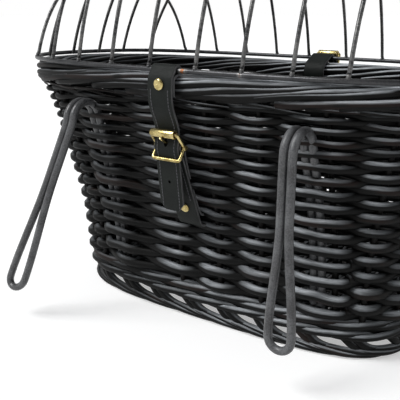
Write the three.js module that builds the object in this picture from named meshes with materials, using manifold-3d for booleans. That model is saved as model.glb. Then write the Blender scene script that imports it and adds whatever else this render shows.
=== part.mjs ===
// Bicycle basket: a woven willow body with hooks for the handlebar and a hinged wire dome.
// Millimetres, +Z up. X runs along the basket, the hook side faces -Y, and it stands on z = 0.
import * as THREE from 'three';
import { mergeVertices } from 'three/addons/utils/BufferGeometryUtils.js';
import Module from 'manifold-3d';

const wasm = await Module();
wasm.setup();

// Fits
const CLEARANCE = 0.3; // between pieces that touch
const RUNNING_CLEARANCE = 0.35; // between a wire and the leather that turns on it

// Ring of the dome, measured to the middle of its wire
const RING_HALF_LENGTH = 212;
const RING_HALF_WIDTH = 139;
const RING_SQUARENESS = 3.7;
const RING_HEIGHT = 230;
const RING_WIRE_RADIUS = 2;
const RIM_FALL = 12; // how much lower the rim is on the far side

// Dome
const DOME_RISE = 168;
const DOME_DEPTH_BELOW_RING = 70; // the dome's curve would end this far under the ring
const HOOP_WIRE_RADIUS = 1.6;
const CROSS_HOOP_PLACES = [22, 62, 101, 139, 175]; // each side of the middle
const LENGTH_HOOP_PITCH = 39;

// Rolled border under the ring
const BORDER_HALF_HEIGHT = 10;
const BORDER_HALF_THICKNESS = 11;
const BORDER_INSET = 8; // from the ring to the middle of the border
const BORDER_DROP = 15; // from the ring to the middle of the border

// Foot
const FOOT_HALF_LENGTH = 171;
const FOOT_HALF_WIDTH = 99;
const FOOT_SQUARENESS = 3.95;
const FOOT_ROLL_HALF_THICKNESS = 5.5;
const FOOT_ROLL_HEIGHT = 9.5;
const FOOT_FLAT_DEPTH = 0.5; // how much the roll is pressed flat where it stands
const FOOT_BORDER_HEIGHT = 16.7;
const FOOT_ROD_RADIUS = 3.5;
const FOOT_RODS_PER_STAKE = 2;
const FOOT_ROD_SPACING = 6.5;
const FOOT_ROD_SLANT = 9;
const STAKE_COUNT = 24;

// Wale over the foot
const WALE_HEIGHT = 18;
const WALE_HALF_THICKNESS = 6.5;
const WALE_OVERHANG = 3.5; // how far the wale stands out past the foot

// Base and wall
const BASE_THICKNESS = 9;
const BASE_LIFT = 3; // from the foot's top to the underside of the base
const LOW_ROW_PITCH = 7.2; // from one row of rods to the next
const HIGH_ROW_PITCH = 3.9;
const WEAVE_DEPTH = 4.5; // how much further in a rod is where it goes behind a stake
const HOOK_ROOM = 26; // the wall is plain this far to each side of a hook
const WALL_THICKNESS = 11;
const WALL_TOP_INSET = 4; // from the ring to the wall's outer face, at the top
const WALL_BULGE = 3;

// Hooks
const HOOK_ROD_RADIUS = 3.25;
const HOOK_BEND_RADIUS = 15.5;
const HOOK_LEG_BOTTOM = 45;
const HOOK_LOOP_RADIUS = 9.5;
const HOOK_STRANDS_APART = 0.4;
const LEFT_HOOK_PLACE = -96; // along X
const LEFT_HOOK_BEND_HEIGHT = 180; // where the bend starts
const LEFT_HOOK_LENGTH = 152; // from there to the middle of the loop
const RIGHT_HOOK_PLACE = 109;
const RIGHT_HOOK_BEND_HEIGHT = 177;
const RIGHT_HOOK_LENGTH = 142;
const HOOKS = [
  {
    name: 'left_hook',
    place: LEFT_HOOK_PLACE,
    bendHeight: LEFT_HOOK_BEND_HEIGHT,
    length: LEFT_HOOK_LENGTH,
    splay: -18.3,
    lean: 12,
  },
  {
    name: 'right_hook',
    place: RIGHT_HOOK_PLACE,
    bendHeight: RIGHT_HOOK_BEND_HEIGHT,
    length: RIGHT_HOOK_LENGTH,
    splay: 1,
    lean: 3,
  },
];

// Leather straps and their brass
const STRAP_WIDTH = 23;
const STRAP_PLACE = -5; // along X
const CLOSURE_THICKNESS = 2.4;
const BUCKLE_STRAP_THICKNESS = 2.2;
const STRAP_HOLE_RADIUS = 1.9;
const STRAP_TIP_CUT = 6;
const PRONG_HOLE_LENGTH = 7;
const RIVET_HEAD_RADIUS = 4.5;
const RIVET_HEAD_HEIGHT = 2;
const RIVET_SHANK_RADIUS = 1.5;
const RIVET_BACK_RADIUS = 2.8;
const RIVET_BACK_HEIGHT = 0.5;
const BUCKLE_ROD_RADIUS = 1.5;
const ROLLER_RADIUS = 3.5;
const ROLLER_BORE_RADIUS = 2.4;
const PRONG_RADIUS = 1.1;
const PRONG_EYE_WIDTH = 3;
const PRONG_SLOT_WIDTH = 4;

// How finely round shapes are cut
const AROUND = 72;
const WIRE_SIDES = 6;
const ROD_SIDES = 8;

const willow = { color: 0x17161a, roughness: 0.42, metalness: 0 };
const coatedSteel = { color: 0x3a3b3d, roughness: 0.55, metalness: 0.1 };
const blackWire = { color: 0x2a2b2c, roughness: 0.4, metalness: 0.6 };
const leather = { color: 0x1d1f1e, roughness: 0.6, metalness: 0 };
const brass = { color: 0xb79a4c, roughness: 0.28, metalness: 0.95 };

const basket = new THREE.Group();

function addPiece(name, geometry, look) {
  const mesh = new THREE.Mesh(geometry, new THREE.MeshStandardMaterial(look));
  mesh.name = name;
  basket.add(mesh);
}

// Solids

function indexedGeometry(positions, index) {
  const geometry = new THREE.BufferGeometry();
  geometry.setAttribute('position', new THREE.Float32BufferAttribute(positions, 3));
  geometry.setIndex(index);
  return geometry;
}

function signedVolume(geometry) {
  const corners = geometry.toNonIndexed().getAttribute('position');
  const [a, b, c] = [new THREE.Vector3(), new THREE.Vector3(), new THREE.Vector3()];
  let volume = 0;
  for (let i = 0; i < corners.count; i += 3) {
    a.fromBufferAttribute(corners, i);
    b.fromBufferAttribute(corners, i + 1);
    c.fromBufferAttribute(corners, i + 2);
    volume += a.dot(b.cross(c)) / 6;
  }
  return volume;
}

function facingOut(geometry) {
  if (signedVolume(geometry) > 0) return geometry;
  const index = Array.from(geometry.getIndex().array);
  for (let i = 0; i < index.length; i += 3) {
    [index[i], index[i + 1]] = [index[i + 1], index[i]];
  }
  geometry.setIndex(index);
  return geometry;
}

function welded(geometry) {
  geometry.deleteAttribute('normal');
  geometry.deleteAttribute('uv');
  return facingOut(mergeVertices(geometry, 1e-3));
}

function toSolid(geometry) {
  const clean = welded(geometry);
  return new wasm.Manifold(new wasm.Mesh({
    numProp: 3,
    vertProperties: new Float32Array(clean.getAttribute('position').array),
    triVerts: new Uint32Array(clean.getIndex().array),
  }));
}

function fromSolid(solid) {
  const mesh = solid.getMesh();
  return indexedGeometry(Array.from(mesh.vertProperties), Array.from(mesh.triVerts));
}

function cut(geometry, tools) {
  return fromSolid(tools.reduce((solid, tool) => solid.subtract(toSolid(tool)), toSolid(geometry)));
}

function join(geometries) {
  return fromSolid(geometries.map(toSolid).reduce((whole, solid) => whole.add(solid)));
}

function boxBetween(low, high) {
  const [from, to] = [new THREE.Vector3(...low), new THREE.Vector3(...high)];
  const size = to.clone().sub(from);
  const box = new THREE.BoxGeometry(size.x, size.y, size.z);
  return box.translate(...from.add(to).multiplyScalar(0.5).toArray());
}

// A grid of closed loops, each joined to the next, open at the ends or closed into a torus
function gridGeometry(loops, isRing) {
  const size = loops[0].length;
  const positions = loops.flat().flatMap((point) => point.toArray());
  const index = [];
  const bands = isRing ? loops.length : loops.length - 1;
  for (let i = 0; i < bands; i += 1) {
    const next = (i + 1) % loops.length;
    for (let j = 0; j < size; j += 1) {
      const side = (j + 1) % size;
      index.push(i * size + j, next * size + j, i * size + side);
      index.push(i * size + side, next * size + j, next * size + side);
    }
  }
  if (!isRing) {
    const last = (loops.length - 1) * size;
    for (let j = 1; j < size - 1; j += 1) {
      index.push(0, j, j + 1);
      index.push(last, last + j + 1, last + j);
    }
  }
  return facingOut(indexedGeometry(positions, index));
}

// A round rod along points. The section is carried from point to point without twisting.
function rodAlong(points, radius, sides, isRing = false) {
  const count = points.length;
  const tangents = points.map((point, i) => {
    const before = isRing ? points[(i + count - 1) % count] : points[Math.max(i - 1, 0)];
    const after = isRing ? points[(i + 1) % count] : points[Math.min(i + 1, count - 1)];
    return after.clone().sub(before).normalize();
  });
  let normal = new THREE.Vector3(1, 0, 0);
  if (Math.abs(tangents[0].x) > 0.8) normal.set(0, 0, 1);
  const loops = points.map((point, i) => {
    normal.addScaledVector(tangents[i], -normal.dot(tangents[i])).normalize();
    const across = new THREE.Vector3().crossVectors(tangents[i], normal);
    const loop = [];
    for (let k = 0; k < sides; k += 1) {
      const angle = (2 * Math.PI * (k + 0.5)) / sides;
      const around = normal.clone().multiplyScalar(Math.cos(angle) * radius);
      loop.push(around.addScaledVector(across, Math.sin(angle) * radius).add(point));
    }
    return loop;
  });
  return gridGeometry(loops, isRing);
}

// Outlines

function superellipse(halfLength, halfWidth, squareness, count = AROUND) {
  const fine = 40 * AROUND;
  const curve = [];
  for (let i = 0; i < fine; i += 1) {
    const angle = (2 * Math.PI * i) / fine;
    const [c, s] = [Math.cos(angle), Math.sin(angle)];
    const x = halfLength * Math.sign(c) * Math.abs(c) ** (2 / squareness);
    const y = halfWidth * Math.sign(s) * Math.abs(s) ** (2 / squareness);
    curve.push(new THREE.Vector2(x, y));
  }
  const lengths = [0];
  for (let i = 0; i < fine; i += 1) {
    lengths.push(lengths[i] + curve[i].distanceTo(curve[(i + 1) % fine]));
  }
  const points = [];
  let at = 0;
  for (let k = 0; k < count; k += 1) {
    const want = (lengths[fine] * k) / count;
    while (lengths[at + 1] < want) at += 1;
    const part = (want - lengths[at]) / (lengths[at + 1] - lengths[at]);
    points.push(curve[at].clone().lerp(curve[(at + 1) % fine], part));
  }
  return points;
}

function widthAt(x, halfLength, halfWidth, squareness) {
  return halfWidth * (1 - Math.abs(x / halfLength) ** squareness) ** (1 / squareness);
}

const rimFall = (y) => RIM_FALL * ((y + RING_HALF_WIDTH) / (2 * RING_HALF_WIDTH)) ** 2;

// A ring whose section is a closed list of {halfLength, halfWidth, squareness, height, falls}
function basketRing(section) {
  const outlines = section.map((s) => superellipse(s.halfLength, s.halfWidth, s.squareness));
  const loops = [];
  for (let k = 0; k < AROUND; k += 1) {
    loops.push(section.map((s, i) => {
      const { x, y } = outlines[i][k];
      return new THREE.Vector3(x, y, s.height - s.falls * rimFall(y));
    }));
  }
  return gridGeometry(loops, true);
}

// The section of a rolled course of rods: an oval, cut flat below lowest
function rolledSection(middle, halfThickness, halfHeight, sides, lowest = -Infinity) {
  const corners = [];
  for (let k = 0; k < sides; k += 1) {
    const angle = (2 * Math.PI * (k + 0.5)) / sides;
    corners.push([Math.cos(angle), Math.sin(angle)]);
  }
  const widest = Math.max(...corners.map(([across]) => across));
  const highest = Math.max(...corners.map(([, up]) => up));
  return corners.map(([across, up]) => {
    const out = (halfThickness * across) / widest;
    return {
      ...middle,
      halfLength: middle.halfLength + out,
      halfWidth: middle.halfWidth + out,
      height: Math.max(lowest, middle.height + (halfHeight * up) / highest),
    };
  });
}

// Woven body

const waleBottom = FOOT_BORDER_HEIGHT + CLEARANCE;
const waleTop = waleBottom + WALE_HEIGHT;
const wallBottom = waleTop + CLEARANCE;
const borderBottom = RING_HEIGHT - BORDER_DROP - BORDER_HALF_HEIGHT;
const wallTop = borderBottom - CLEARANCE;
const waleOuterLength = FOOT_HALF_LENGTH + WALE_OVERHANG;
const waleOuterWidth = FOOT_HALF_WIDTH + WALE_OVERHANG;

function wallOuter(height) {
  const up = (height - wallBottom) / (wallTop - wallBottom);
  const bulge = WALL_BULGE * Math.sin(Math.PI * THREE.MathUtils.clamp(up, 0, 1));
  const mix = THREE.MathUtils.lerp;
  return {
    halfLength: mix(waleOuterLength - 1, RING_HALF_LENGTH - WALL_TOP_INSET, up) + bulge,
    halfWidth: mix(waleOuterWidth - 1, RING_HALF_WIDTH - WALL_TOP_INSET, up) + bulge,
    squareness: mix(FOOT_SQUARENESS, RING_SQUARENESS, up),
    height,
    falls: THREE.MathUtils.clamp(up, 0, 1),
  };
}

// The height of each row of rods, closer together towards the rim
function rowHeights() {
  const heights = [];
  const pitchAt = (height) => {
    const up = (height - wallBottom) / (wallTop - wallBottom);
    return THREE.MathUtils.lerp(LOW_ROW_PITCH, HIGH_ROW_PITCH, up);
  };
  let height = wallBottom + LOW_ROW_PITCH / 2;
  while (height < wallTop - HIGH_ROW_PITCH / 2) {
    heights.push(height);
    height += pitchAt(height);
  }
  return heights;
}

// True where the wall is left plain, because a hook's legs go down through it
function isByHook({ x, y }, height) {
  return HOOKS.some((hook) => {
    const isBeside = Math.abs(x - hook.place) < HOOK_ROOM;
    return y < 0 && isBeside && height < hook.bendHeight + 2 * HOOK_ROD_RADIUS;
  });
}

// A sheet that goes outside one stake and inside the next, and the other way in the next row
function wallShell() {
  const columns = 2 * STAKE_COUNT;
  const outlineAt = (size, inwards) => superellipse(
    size.halfLength - inwards, size.halfWidth - inwards, size.squareness, columns,
  );
  const rows = rowHeights();
  const levels = [wallBottom, ...rows, wallTop].map((height, i, all) => {
    const outer = wallOuter(height);
    const isEdge = i === 0 || i === all.length - 1;
    return {
      outer,
      isEdge,
      side: i % 2 ? 1 : -1,
      outside: outlineAt(outer, 0),
      outsideBehind: outlineAt(outer, WEAVE_DEPTH),
      insideBefore: outlineAt(outer, WALL_THICKNESS - WEAVE_DEPTH),
      inside: outlineAt(outer, WALL_THICKNESS),
    };
  });
  const loops = [];
  for (let k = 0; k < columns; k += 1) {
    const face = (level, out, back, share) => {
      const isPlain = level.isEdge || isByHook(level.outside[k], level.outer.height);
      const { x, y } = isPlain ? out[k] : back[k].clone().lerp(out[k], share);
      return new THREE.Vector3(x, y, level.outer.height - level.outer.falls * rimFall(y));
    };
    const shareAt = (level) => 0.5 + 0.5 * level.side * Math.round(Math.sin((Math.PI * k) / 2));
    loops.push([
      ...levels.map((l) => face(l, l.outside, l.outsideBehind, shareAt(l))),
      ...levels.slice().reverse().map((l) => face(l, l.inside, l.insideBefore, 1 - shareAt(l))),
    ]);
  }
  return gridGeometry(loops, true);
}

function wale() {
  const middle = {
    halfLength: waleOuterLength - WALE_HALF_THICKNESS,
    halfWidth: waleOuterWidth - WALE_HALF_THICKNESS,
    squareness: FOOT_SQUARENESS,
    height: waleBottom + WALE_HEIGHT / 2,
    falls: 0,
  };
  return basketRing(rolledSection(middle, WALE_HALF_THICKNESS, WALE_HEIGHT / 2, WIRE_SIDES));
}

function wovenBase() {
  const room = 2 * WALE_HALF_THICKNESS + CLEARANCE;
  const outline = superellipse(waleOuterLength - room, waleOuterWidth - room, FOOT_SQUARENESS);
  const bottom = FOOT_BORDER_HEIGHT + BASE_LIFT;
  const loops = [bottom, bottom + BASE_THICKNESS].map((height) => (
    outline.map((point) => new THREE.Vector3(point.x, point.y, height))
  ));
  return gridGeometry(loops, false);
}

// Each stake turns down into slanted rods, which run into the roll that the basket stands on
function footBorder() {
  const middle = {
    halfLength: FOOT_HALF_LENGTH - FOOT_ROLL_HALF_THICKNESS,
    halfWidth: FOOT_HALF_WIDTH - FOOT_ROLL_HALF_THICKNESS,
    squareness: FOOT_SQUARENESS,
    height: FOOT_ROLL_HEIGHT / 2 - FOOT_FLAT_DEPTH / 2,
    falls: 0,
  };
  const halfHeight = (FOOT_ROLL_HEIGHT + FOOT_FLAT_DEPTH) / 2;
  const roll = basketRing(rolledSection(middle, FOOT_ROLL_HALF_THICKNESS, halfHeight, ROD_SIDES, 0));
  const outline = superellipse(middle.halfLength, middle.halfWidth, FOOT_SQUARENESS, 1000);
  const path = new THREE.CurvePath();
  outline.forEach((point, i) => {
    const next = outline[(i + 1) % outline.length];
    path.add(new THREE.LineCurve(point, next));
  });
  const length = path.getLength();
  const onFoot = (distance, height) => {
    const { x, y } = path.getPointAt(((distance / length) % 1 + 1) % 1);
    return new THREE.Vector3(x, y, height);
  };
  const rods = [];
  const highest = FOOT_BORDER_HEIGHT - FOOT_ROD_RADIUS * Math.cos(Math.PI / WIRE_SIDES);
  for (let stake = 0; stake < STAKE_COUNT; stake += 1) {
    for (let k = 0; k < FOOT_RODS_PER_STAKE; k += 1) {
      const from = ((stake + 0.5) * length) / STAKE_COUNT + k * FOOT_ROD_SPACING;
      const to = from + FOOT_ROD_SLANT * (k + 1);
      const ends = [onFoot(from, highest), onFoot(to, FOOT_ROLL_HEIGHT / 2)];
      rods.push(rodAlong(ends, FOOT_ROD_RADIUS, WIRE_SIDES));
    }
  }
  return join([roll, ...rods]);
}

function rimBorder() {
  const middle = {
    halfLength: RING_HALF_LENGTH - BORDER_INSET,
    halfWidth: RING_HALF_WIDTH - BORDER_INSET,
    squareness: RING_SQUARENESS,
    height: RING_HEIGHT - BORDER_DROP,
    falls: 1,
  };
  return basketRing(rolledSection(middle, BORDER_HALF_THICKNESS, BORDER_HALF_HEIGHT, ROD_SIDES));
}

// Hooks: one rod each, with both legs in the weave and a hairpin loop outside

function hookRod({ place, bendHeight, length, splay, lean }) {
  const middleOfWall = (height) => {
    const { halfLength, halfWidth, squareness } = wallOuter(height);
    return widthAt(place, halfLength, halfWidth, squareness) - WALL_THICKNESS / 2;
  };
  const legOut = middleOfWall(bendHeight);
  const strand = HOOK_ROD_RADIUS + HOOK_STRANDS_APART / 2;
  const sideways = Math.tan(THREE.MathUtils.degToRad(splay));
  const outwards = Math.tan(THREE.MathUtils.degToRad(lean));

  const half = [];
  const legSteps = 5;
  for (let i = 0; i < legSteps; i += 1) {
    const height = THREE.MathUtils.lerp(HOOK_LEG_BOTTOM, bendHeight, i / legSteps);
    half.push(new THREE.Vector3(strand, -middleOfWall(height), height));
  }
  const bendSteps = 8;
  for (let i = 0; i <= bendSteps; i += 1) {
    const angle = (Math.PI * i) / bendSteps;
    const out = legOut + HOOK_BEND_RADIUS * (1 - Math.cos(angle));
    half.push(new THREE.Vector3(strand, -out, bendHeight + HOOK_BEND_RADIUS * Math.sin(angle)));
  }
  const fall = length - HOOK_LOOP_RADIUS;
  const fallSteps = 8;
  for (let i = 1; i < fallSteps; i += 1) {
    const down = i / fallSteps;
    const spread = THREE.MathUtils.smoothstep(down, 0.35, 1);
    const apart = THREE.MathUtils.lerp(strand, HOOK_LOOP_RADIUS, spread);
    const out = legOut + 2 * HOOK_BEND_RADIUS + outwards * fall * down;
    half.push(new THREE.Vector3(apart, -out, bendHeight - fall * down));
  }
  const loopOut = (drop) => legOut + 2 * HOOK_BEND_RADIUS + outwards * drop;
  for (let i = 0; i <= 3; i += 1) {
    const angle = (Math.PI * i) / 6;
    const drop = fall + HOOK_LOOP_RADIUS * Math.sin(angle);
    const across = HOOK_LOOP_RADIUS * Math.cos(angle);
    half.push(new THREE.Vector3(across, -loopOut(drop), bendHeight - drop));
  }
  const mirrored = half.slice(0, -1).reverse().map((p) => new THREE.Vector3(-p.x, p.y, p.z));
  return [...half, ...mirrored].map((p) => {
    const isOutside = -p.y > legOut + HOOK_BEND_RADIUS;
    const drop = isOutside ? Math.max(bendHeight - p.z, 0) : 0;
    return new THREE.Vector3(place + p.x + sideways * drop, p.y, p.z);
  });
}

// Dome

const domeHeight = DOME_RISE + DOME_DEPTH_BELOW_RING;
const ringReach = Math.sqrt(1 - (DOME_DEPTH_BELOW_RING / domeHeight) ** 2);

// How high the dome is over the ring at a place in plan
function domeRise(x, y) {
  const [length, width] = [RING_HALF_LENGTH, RING_HALF_WIDTH].map((size) => size / ringReach);
  const power = RING_SQUARENESS;
  const reach = (Math.abs(x / length) ** power + Math.abs(y / width) ** power) ** (1 / power);
  return domeHeight * Math.sqrt(Math.max(0, 1 - reach ** 2)) - DOME_DEPTH_BELOW_RING;
}

function domeRing() {
  const outline = superellipse(RING_HALF_LENGTH, RING_HALF_WIDTH, RING_SQUARENESS);
  const points = outline.map((p) => new THREE.Vector3(p.x, p.y, RING_HEIGHT - rimFall(p.y)));
  return rodAlong(points, RING_WIRE_RADIUS, WIRE_SIDES, true);
}

// Places along a hoop: where it crosses the others, with some between, and closer near its ends
function hoopPlaces(halfSpan, crossings, between) {
  const places = [];
  for (let i = 0; i + 1 < crossings.length; i += 1) {
    for (let k = 0; k < between; k += 1) {
      places.push(THREE.MathUtils.lerp(crossings[i], crossings[i + 1], k / between));
    }
  }
  const last = crossings[crossings.length - 1];
  const endSteps = 4;
  for (let k = 0; k <= endSteps; k += 1) {
    const share = Math.sin((Math.PI * k) / (2 * endSteps));
    const place = THREE.MathUtils.lerp(last, halfSpan, share);
    places.push(place);
    places.unshift(-place);
  }
  return [...new Set(places)].sort((a, b) => a - b);
}

const lengthHoopPlaces = [-2, -1, 0, 1, 2].map((k) => k * LENGTH_HOOP_PITCH);
const crossHoopPlaces = CROSS_HOOP_PLACES.flatMap((x) => [-x, x]).sort((a, b) => a - b);

// It stands on the ring's wire
function crossHoop(x) {
  const span = widthAt(x, RING_HALF_LENGTH, RING_HALF_WIDTH, RING_SQUARENESS);
  const lift = RING_WIRE_RADIUS + CLEARANCE;
  const footHeight = 1.5; // the straight start of the wire over the ring
  const rest = domeRise(x, span);
  const points = hoopPlaces(span, lengthHoopPlaces, 2).map((y) => {
    const rise = Math.max(domeRise(x, y) - rest, lift + footHeight);
    return new THREE.Vector3(x, y, RING_HEIGHT - rimFall(y) + rise);
  });
  const feet = [points[0], points[points.length - 1]].map((point) => (
    point.clone().setZ(RING_HEIGHT - rimFall(point.y) + lift)
  ));
  return rodAlong([feet[0], ...points, feet[1]], HOOP_WIRE_RADIUS, WIRE_SIDES);
}

// It runs under the cross hoops, and its ends lap the inside of the ring's wire
function lengthHoop(y) {
  const under = RING_WIRE_RADIUS + HOOP_WIRE_RADIUS + 2 * CLEARANCE;
  const span = widthAt(y, RING_HALF_WIDTH, RING_HALF_LENGTH, RING_SQUARENESS);
  const small = 0.01;
  const points = hoopPlaces(span, crossHoopPlaces, 1).map((x) => {
    const slopeX = (domeRise(x + small, y) - domeRise(x - small, y)) / (2 * small);
    const slopeY = (domeRise(x, y + small) - domeRise(x, y - small)) / (2 * small);
    const inPlane = Math.hypot(slopeX, 1);
    const depth = (under * Math.hypot(slopeX, slopeY, 1)) / inPlane;
    const rise = domeRise(x, y) - depth / inPlane;
    return new THREE.Vector3(x + (depth * slopeX) / inPlane, y, RING_HEIGHT - rimFall(y) + rise);
  });
  return rodAlong(points, HOOP_WIRE_RADIUS, WIRE_SIDES);
}

// Straps. Their routes are drawn in a side view: how far out from the middle, and how high.

const at = (out, height) => new THREE.Vector2(out, height);

// A route through points, straight between them, with its corners rounded
function roundedRoute(points) {
  const share = 0.4; // how much of each stretch a corner takes
  const steps = 3;
  const route = [points[0]];
  for (let i = 1; i + 1 < points.length; i += 1) {
    const from = points[i].clone().lerp(points[i - 1], share);
    const to = points[i].clone().lerp(points[i + 1], share);
    route.push(...new THREE.QuadraticBezierCurve(from, points[i], to).getPoints(steps));
  }
  return [...route, points[points.length - 1]];
}

// A strip of leather along a route, on the hook side (side -1) or the far side (side 1).
// With room, it is the space that the strip needs.
function strip(route, thickness, side, room = 0) {
  const [left, right] = [[], []];
  route.forEach((point, i) => {
    const before = route[Math.max(i - 1, 0)];
    const after = route[Math.min(i + 1, route.length - 1)];
    const run = after.clone().sub(before).normalize();
    const across = at(-run.y, run.x).multiplyScalar(thickness / 2 + room);
    left.push(point.clone().add(across));
    right.unshift(point.clone().sub(across));
  });
  const shape = new THREE.Shape([...left, ...right]);
  const geometry = new THREE.ExtrudeGeometry(shape, {
    depth: STRAP_WIDTH + 2 * room, bevelEnabled: false, steps: 1,
  });
  const turn = new THREE.Matrix4().set(
    0, 0, 1, STRAP_PLACE - STRAP_WIDTH / 2 - room,
    side, 0, 0, 0,
    0, 1, 0, 0,
    0, 0, 0, 1,
  );
  return welded(geometry.applyMatrix4(turn));
}

// A straight round bar along X
function barAcross(out, height, radius, halfWidth, side, sides = ROD_SIDES) {
  const ends = [-halfWidth, halfWidth].map((x) => (
    new THREE.Vector3(STRAP_PLACE + x, side * out, height)
  ));
  return rodAlong(ends, radius, sides);
}

// A cutter through a strap, at a place on its route, straight across its thickness
function punch(place, direction, radius, side, stretch = 1) {
  const run = direction.clone().normalize().multiplyScalar(12);
  const ends = [place.clone().sub(run), place.clone().add(run)].map((p) => (
    new THREE.Vector3(STRAP_PLACE, side * p.x, p.y)
  ));
  const hole = rodAlong(ends, radius, ROD_SIDES);
  const middle = new THREE.Vector3(0, side * place.x, place.y);
  return hole.translate(0, -middle.y, -middle.z).scale(1, 1, stretch).translate(0, middle.y, middle.z);
}

// The two corners cut off the tip, below the end of the route
function tipCorners(end, side) {
  return [-1, 1].map((hand) => {
    const size = 2 * STRAP_TIP_CUT;
    const wedge = new THREE.BoxGeometry(size, 4 * size, size);
    wedge.rotateY(Math.PI / 4);
    const x = STRAP_PLACE + hand * (STRAP_WIDTH / 2 + STRAP_TIP_CUT * 0.42);
    return wedge.translate(x, side * end.x, end.y - STRAP_TIP_CUT * 0.42);
  });
}

// A domed head outside, a shank through the layers, and a small head behind them
function rivet(face, back, direction, side) {
  const length = face.distanceTo(back);
  const outline = [
    [0, -RIVET_BACK_HEIGHT], [RIVET_BACK_RADIUS, -RIVET_BACK_HEIGHT], [RIVET_BACK_RADIUS, 0],
    [RIVET_SHANK_RADIUS, 0], [RIVET_SHANK_RADIUS, length], [RIVET_HEAD_RADIUS, length],
    [RIVET_HEAD_RADIUS * 0.8, length + RIVET_HEAD_HEIGHT * 0.65],
    [RIVET_HEAD_RADIUS * 0.4, length + RIVET_HEAD_HEIGHT], [0, length + RIVET_HEAD_HEIGHT],
  ].map(([x, y]) => at(x, y));
  const lathe = new THREE.LatheGeometry(outline, 12);
  const run = new THREE.Vector3(0, side * direction.x, direction.y).normalize();
  lathe.applyQuaternion(new THREE.Quaternion().setFromUnitVectors(new THREE.Vector3(0, 1, 0), run));
  return welded(lathe.translate(STRAP_PLACE, side * back.x, back.y));
}

// Roller buckles

// A buckle sits at its middle bar. Its own directions are up the strap and out from it.
function buckleFrame(centre, tilt) {
  const turn = THREE.MathUtils.degToRad(tilt);
  const up = at(-Math.sin(turn), Math.cos(turn));
  const out = at(Math.cos(turn), Math.sin(turn));
  return (away, along) => (
    centre.clone().addScaledVector(out, away).addScaledVector(up, along)
  );
}

const ROLLER_AWAY = 9;
const ROLLER_ALONG = 11.5;
const LOWER_BAR_AWAY = 6.5;
const LOWER_BAR_ALONG = -9.5;
const STRAP_AWAY = 6.2; // the strap passes this far out from the middle bar
const PRONG_HOLE_ALONG = 3.9;
const PRONG_PAST_ROLLER = 2.8; // how far the prong reaches past where it comes nearest the roller

// A strap of this thickness passes straight behind the roller
function underRoller(place, thickness) {
  const away = ROLLER_AWAY - ROLLER_RADIUS - CLEARANCE - thickness / 2;
  return [place(away, ROLLER_ALONG + 4.5), place(away, ROLLER_ALONG - 4.5)];
}

const armPlace = STRAP_WIDTH / 2 + CLEARANCE + BUCKLE_ROD_RADIUS;
const strapLoopRadius = BUCKLE_ROD_RADIUS + RUNNING_CLEARANCE + BUCKLE_STRAP_THICKNESS / 2;

// The prong runs straight from the middle bar and passes the roller just clear of it
function prongShank() {
  const [fromAway, fromAlong] = [2.3, 1.7];
  const away = ROLLER_AWAY - fromAway;
  const along = ROLLER_ALONG - fromAlong;
  const clear = ROLLER_RADIUS + 1.5 * CLEARANCE + PRONG_RADIUS;
  const turn = Math.atan2(along, away) - Math.asin(clear / Math.hypot(away, along));
  const length = Math.sqrt(away ** 2 + along ** 2 - clear ** 2) + PRONG_PAST_ROLLER;
  return [
    [fromAway, fromAlong],
    [fromAway + length * Math.cos(turn), fromAlong + length * Math.sin(turn)],
  ];
}

function addBuckle(prefix, place, side) {
  const toSpace = (point, x) => new THREE.Vector3(STRAP_PLACE + x, side * point.x, point.y);
  const corners = [
    [place(ROLLER_AWAY, ROLLER_ALONG), -1], [place(ROLLER_AWAY, ROLLER_ALONG), 1],
    [place(0, 0), 1], [place(LOWER_BAR_AWAY, LOWER_BAR_ALONG), 1],
    [place(LOWER_BAR_AWAY, LOWER_BAR_ALONG), -1], [place(0, 0), -1],
  ].map(([point, hand]) => toSpace(point, hand * armPlace));
  const bow = [];
  corners.forEach((corner, i) => {
    const before = corners[(i + corners.length - 1) % corners.length];
    const after = corners[(i + 1) % corners.length];
    bow.push(corner.clone().add(before.clone().sub(corner).setLength(BUCKLE_ROD_RADIUS)));
    bow.push(corner.clone().add(after.clone().sub(corner).setLength(BUCKLE_ROD_RADIUS)));
  });
  const frame = rodAlong(bow, BUCKLE_ROD_RADIUS, ROD_SIDES, true);
  const middleBar = barAcross(place(0, 0).x, place(0, 0).y, BUCKLE_ROD_RADIUS, armPlace, side);
  addPiece(`${prefix}_frame`, join([frame, middleBar]), brass);

  const roller = place(ROLLER_AWAY, ROLLER_ALONG);
  const rollerHalf = armPlace - BUCKLE_ROD_RADIUS - CLEARANCE;
  const tube = barAcross(roller.x, roller.y, ROLLER_RADIUS, rollerHalf, side, 12);
  const bore = barAcross(roller.x, roller.y, ROLLER_BORE_RADIUS, STRAP_WIDTH, side, 12);
  addPiece(`${prefix}_roller`, cut(tube, [bore]), brass);

  const shank = prongShank().map(([away, along]) => toSpace(place(away, along), 0));
  const eyeRadius = BUCKLE_ROD_RADIUS + RUNNING_CLEARANCE + 2 * PRONG_RADIUS * 0.6;
  const half = PRONG_EYE_WIDTH / 2;
  const eye = barAcross(place(0, 0).x, place(0, 0).y, eyeRadius, half, side, 10);
  const eyeBore = barAcross(place(0, 0).x, place(0, 0).y,
    BUCKLE_ROD_RADIUS + RUNNING_CLEARANCE, STRAP_WIDTH, side, 10);
  const prong = join([eye, rodAlong(shank, PRONG_RADIUS, WIRE_SIDES)]);
  addPiece(`${prefix}_prong`, cut(prong, [eyeBore]), brass);
}

// Clear of the prong's eye, all round the middle bar
function prongSlot(place, side) {
  const middle = place(0, 0);
  const half = PRONG_SLOT_WIDTH / 2;
  const reach = strapLoopRadius + BUCKLE_STRAP_THICKNESS;
  const [near, far] = [side * (middle.x - reach), side * (middle.x + reach)];
  return boxBetween(
    [STRAP_PLACE - half, Math.min(near, far), middle.y - reach],
    [STRAP_PLACE + half, Math.max(near, far), middle.y + reach],
  );
}

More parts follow.
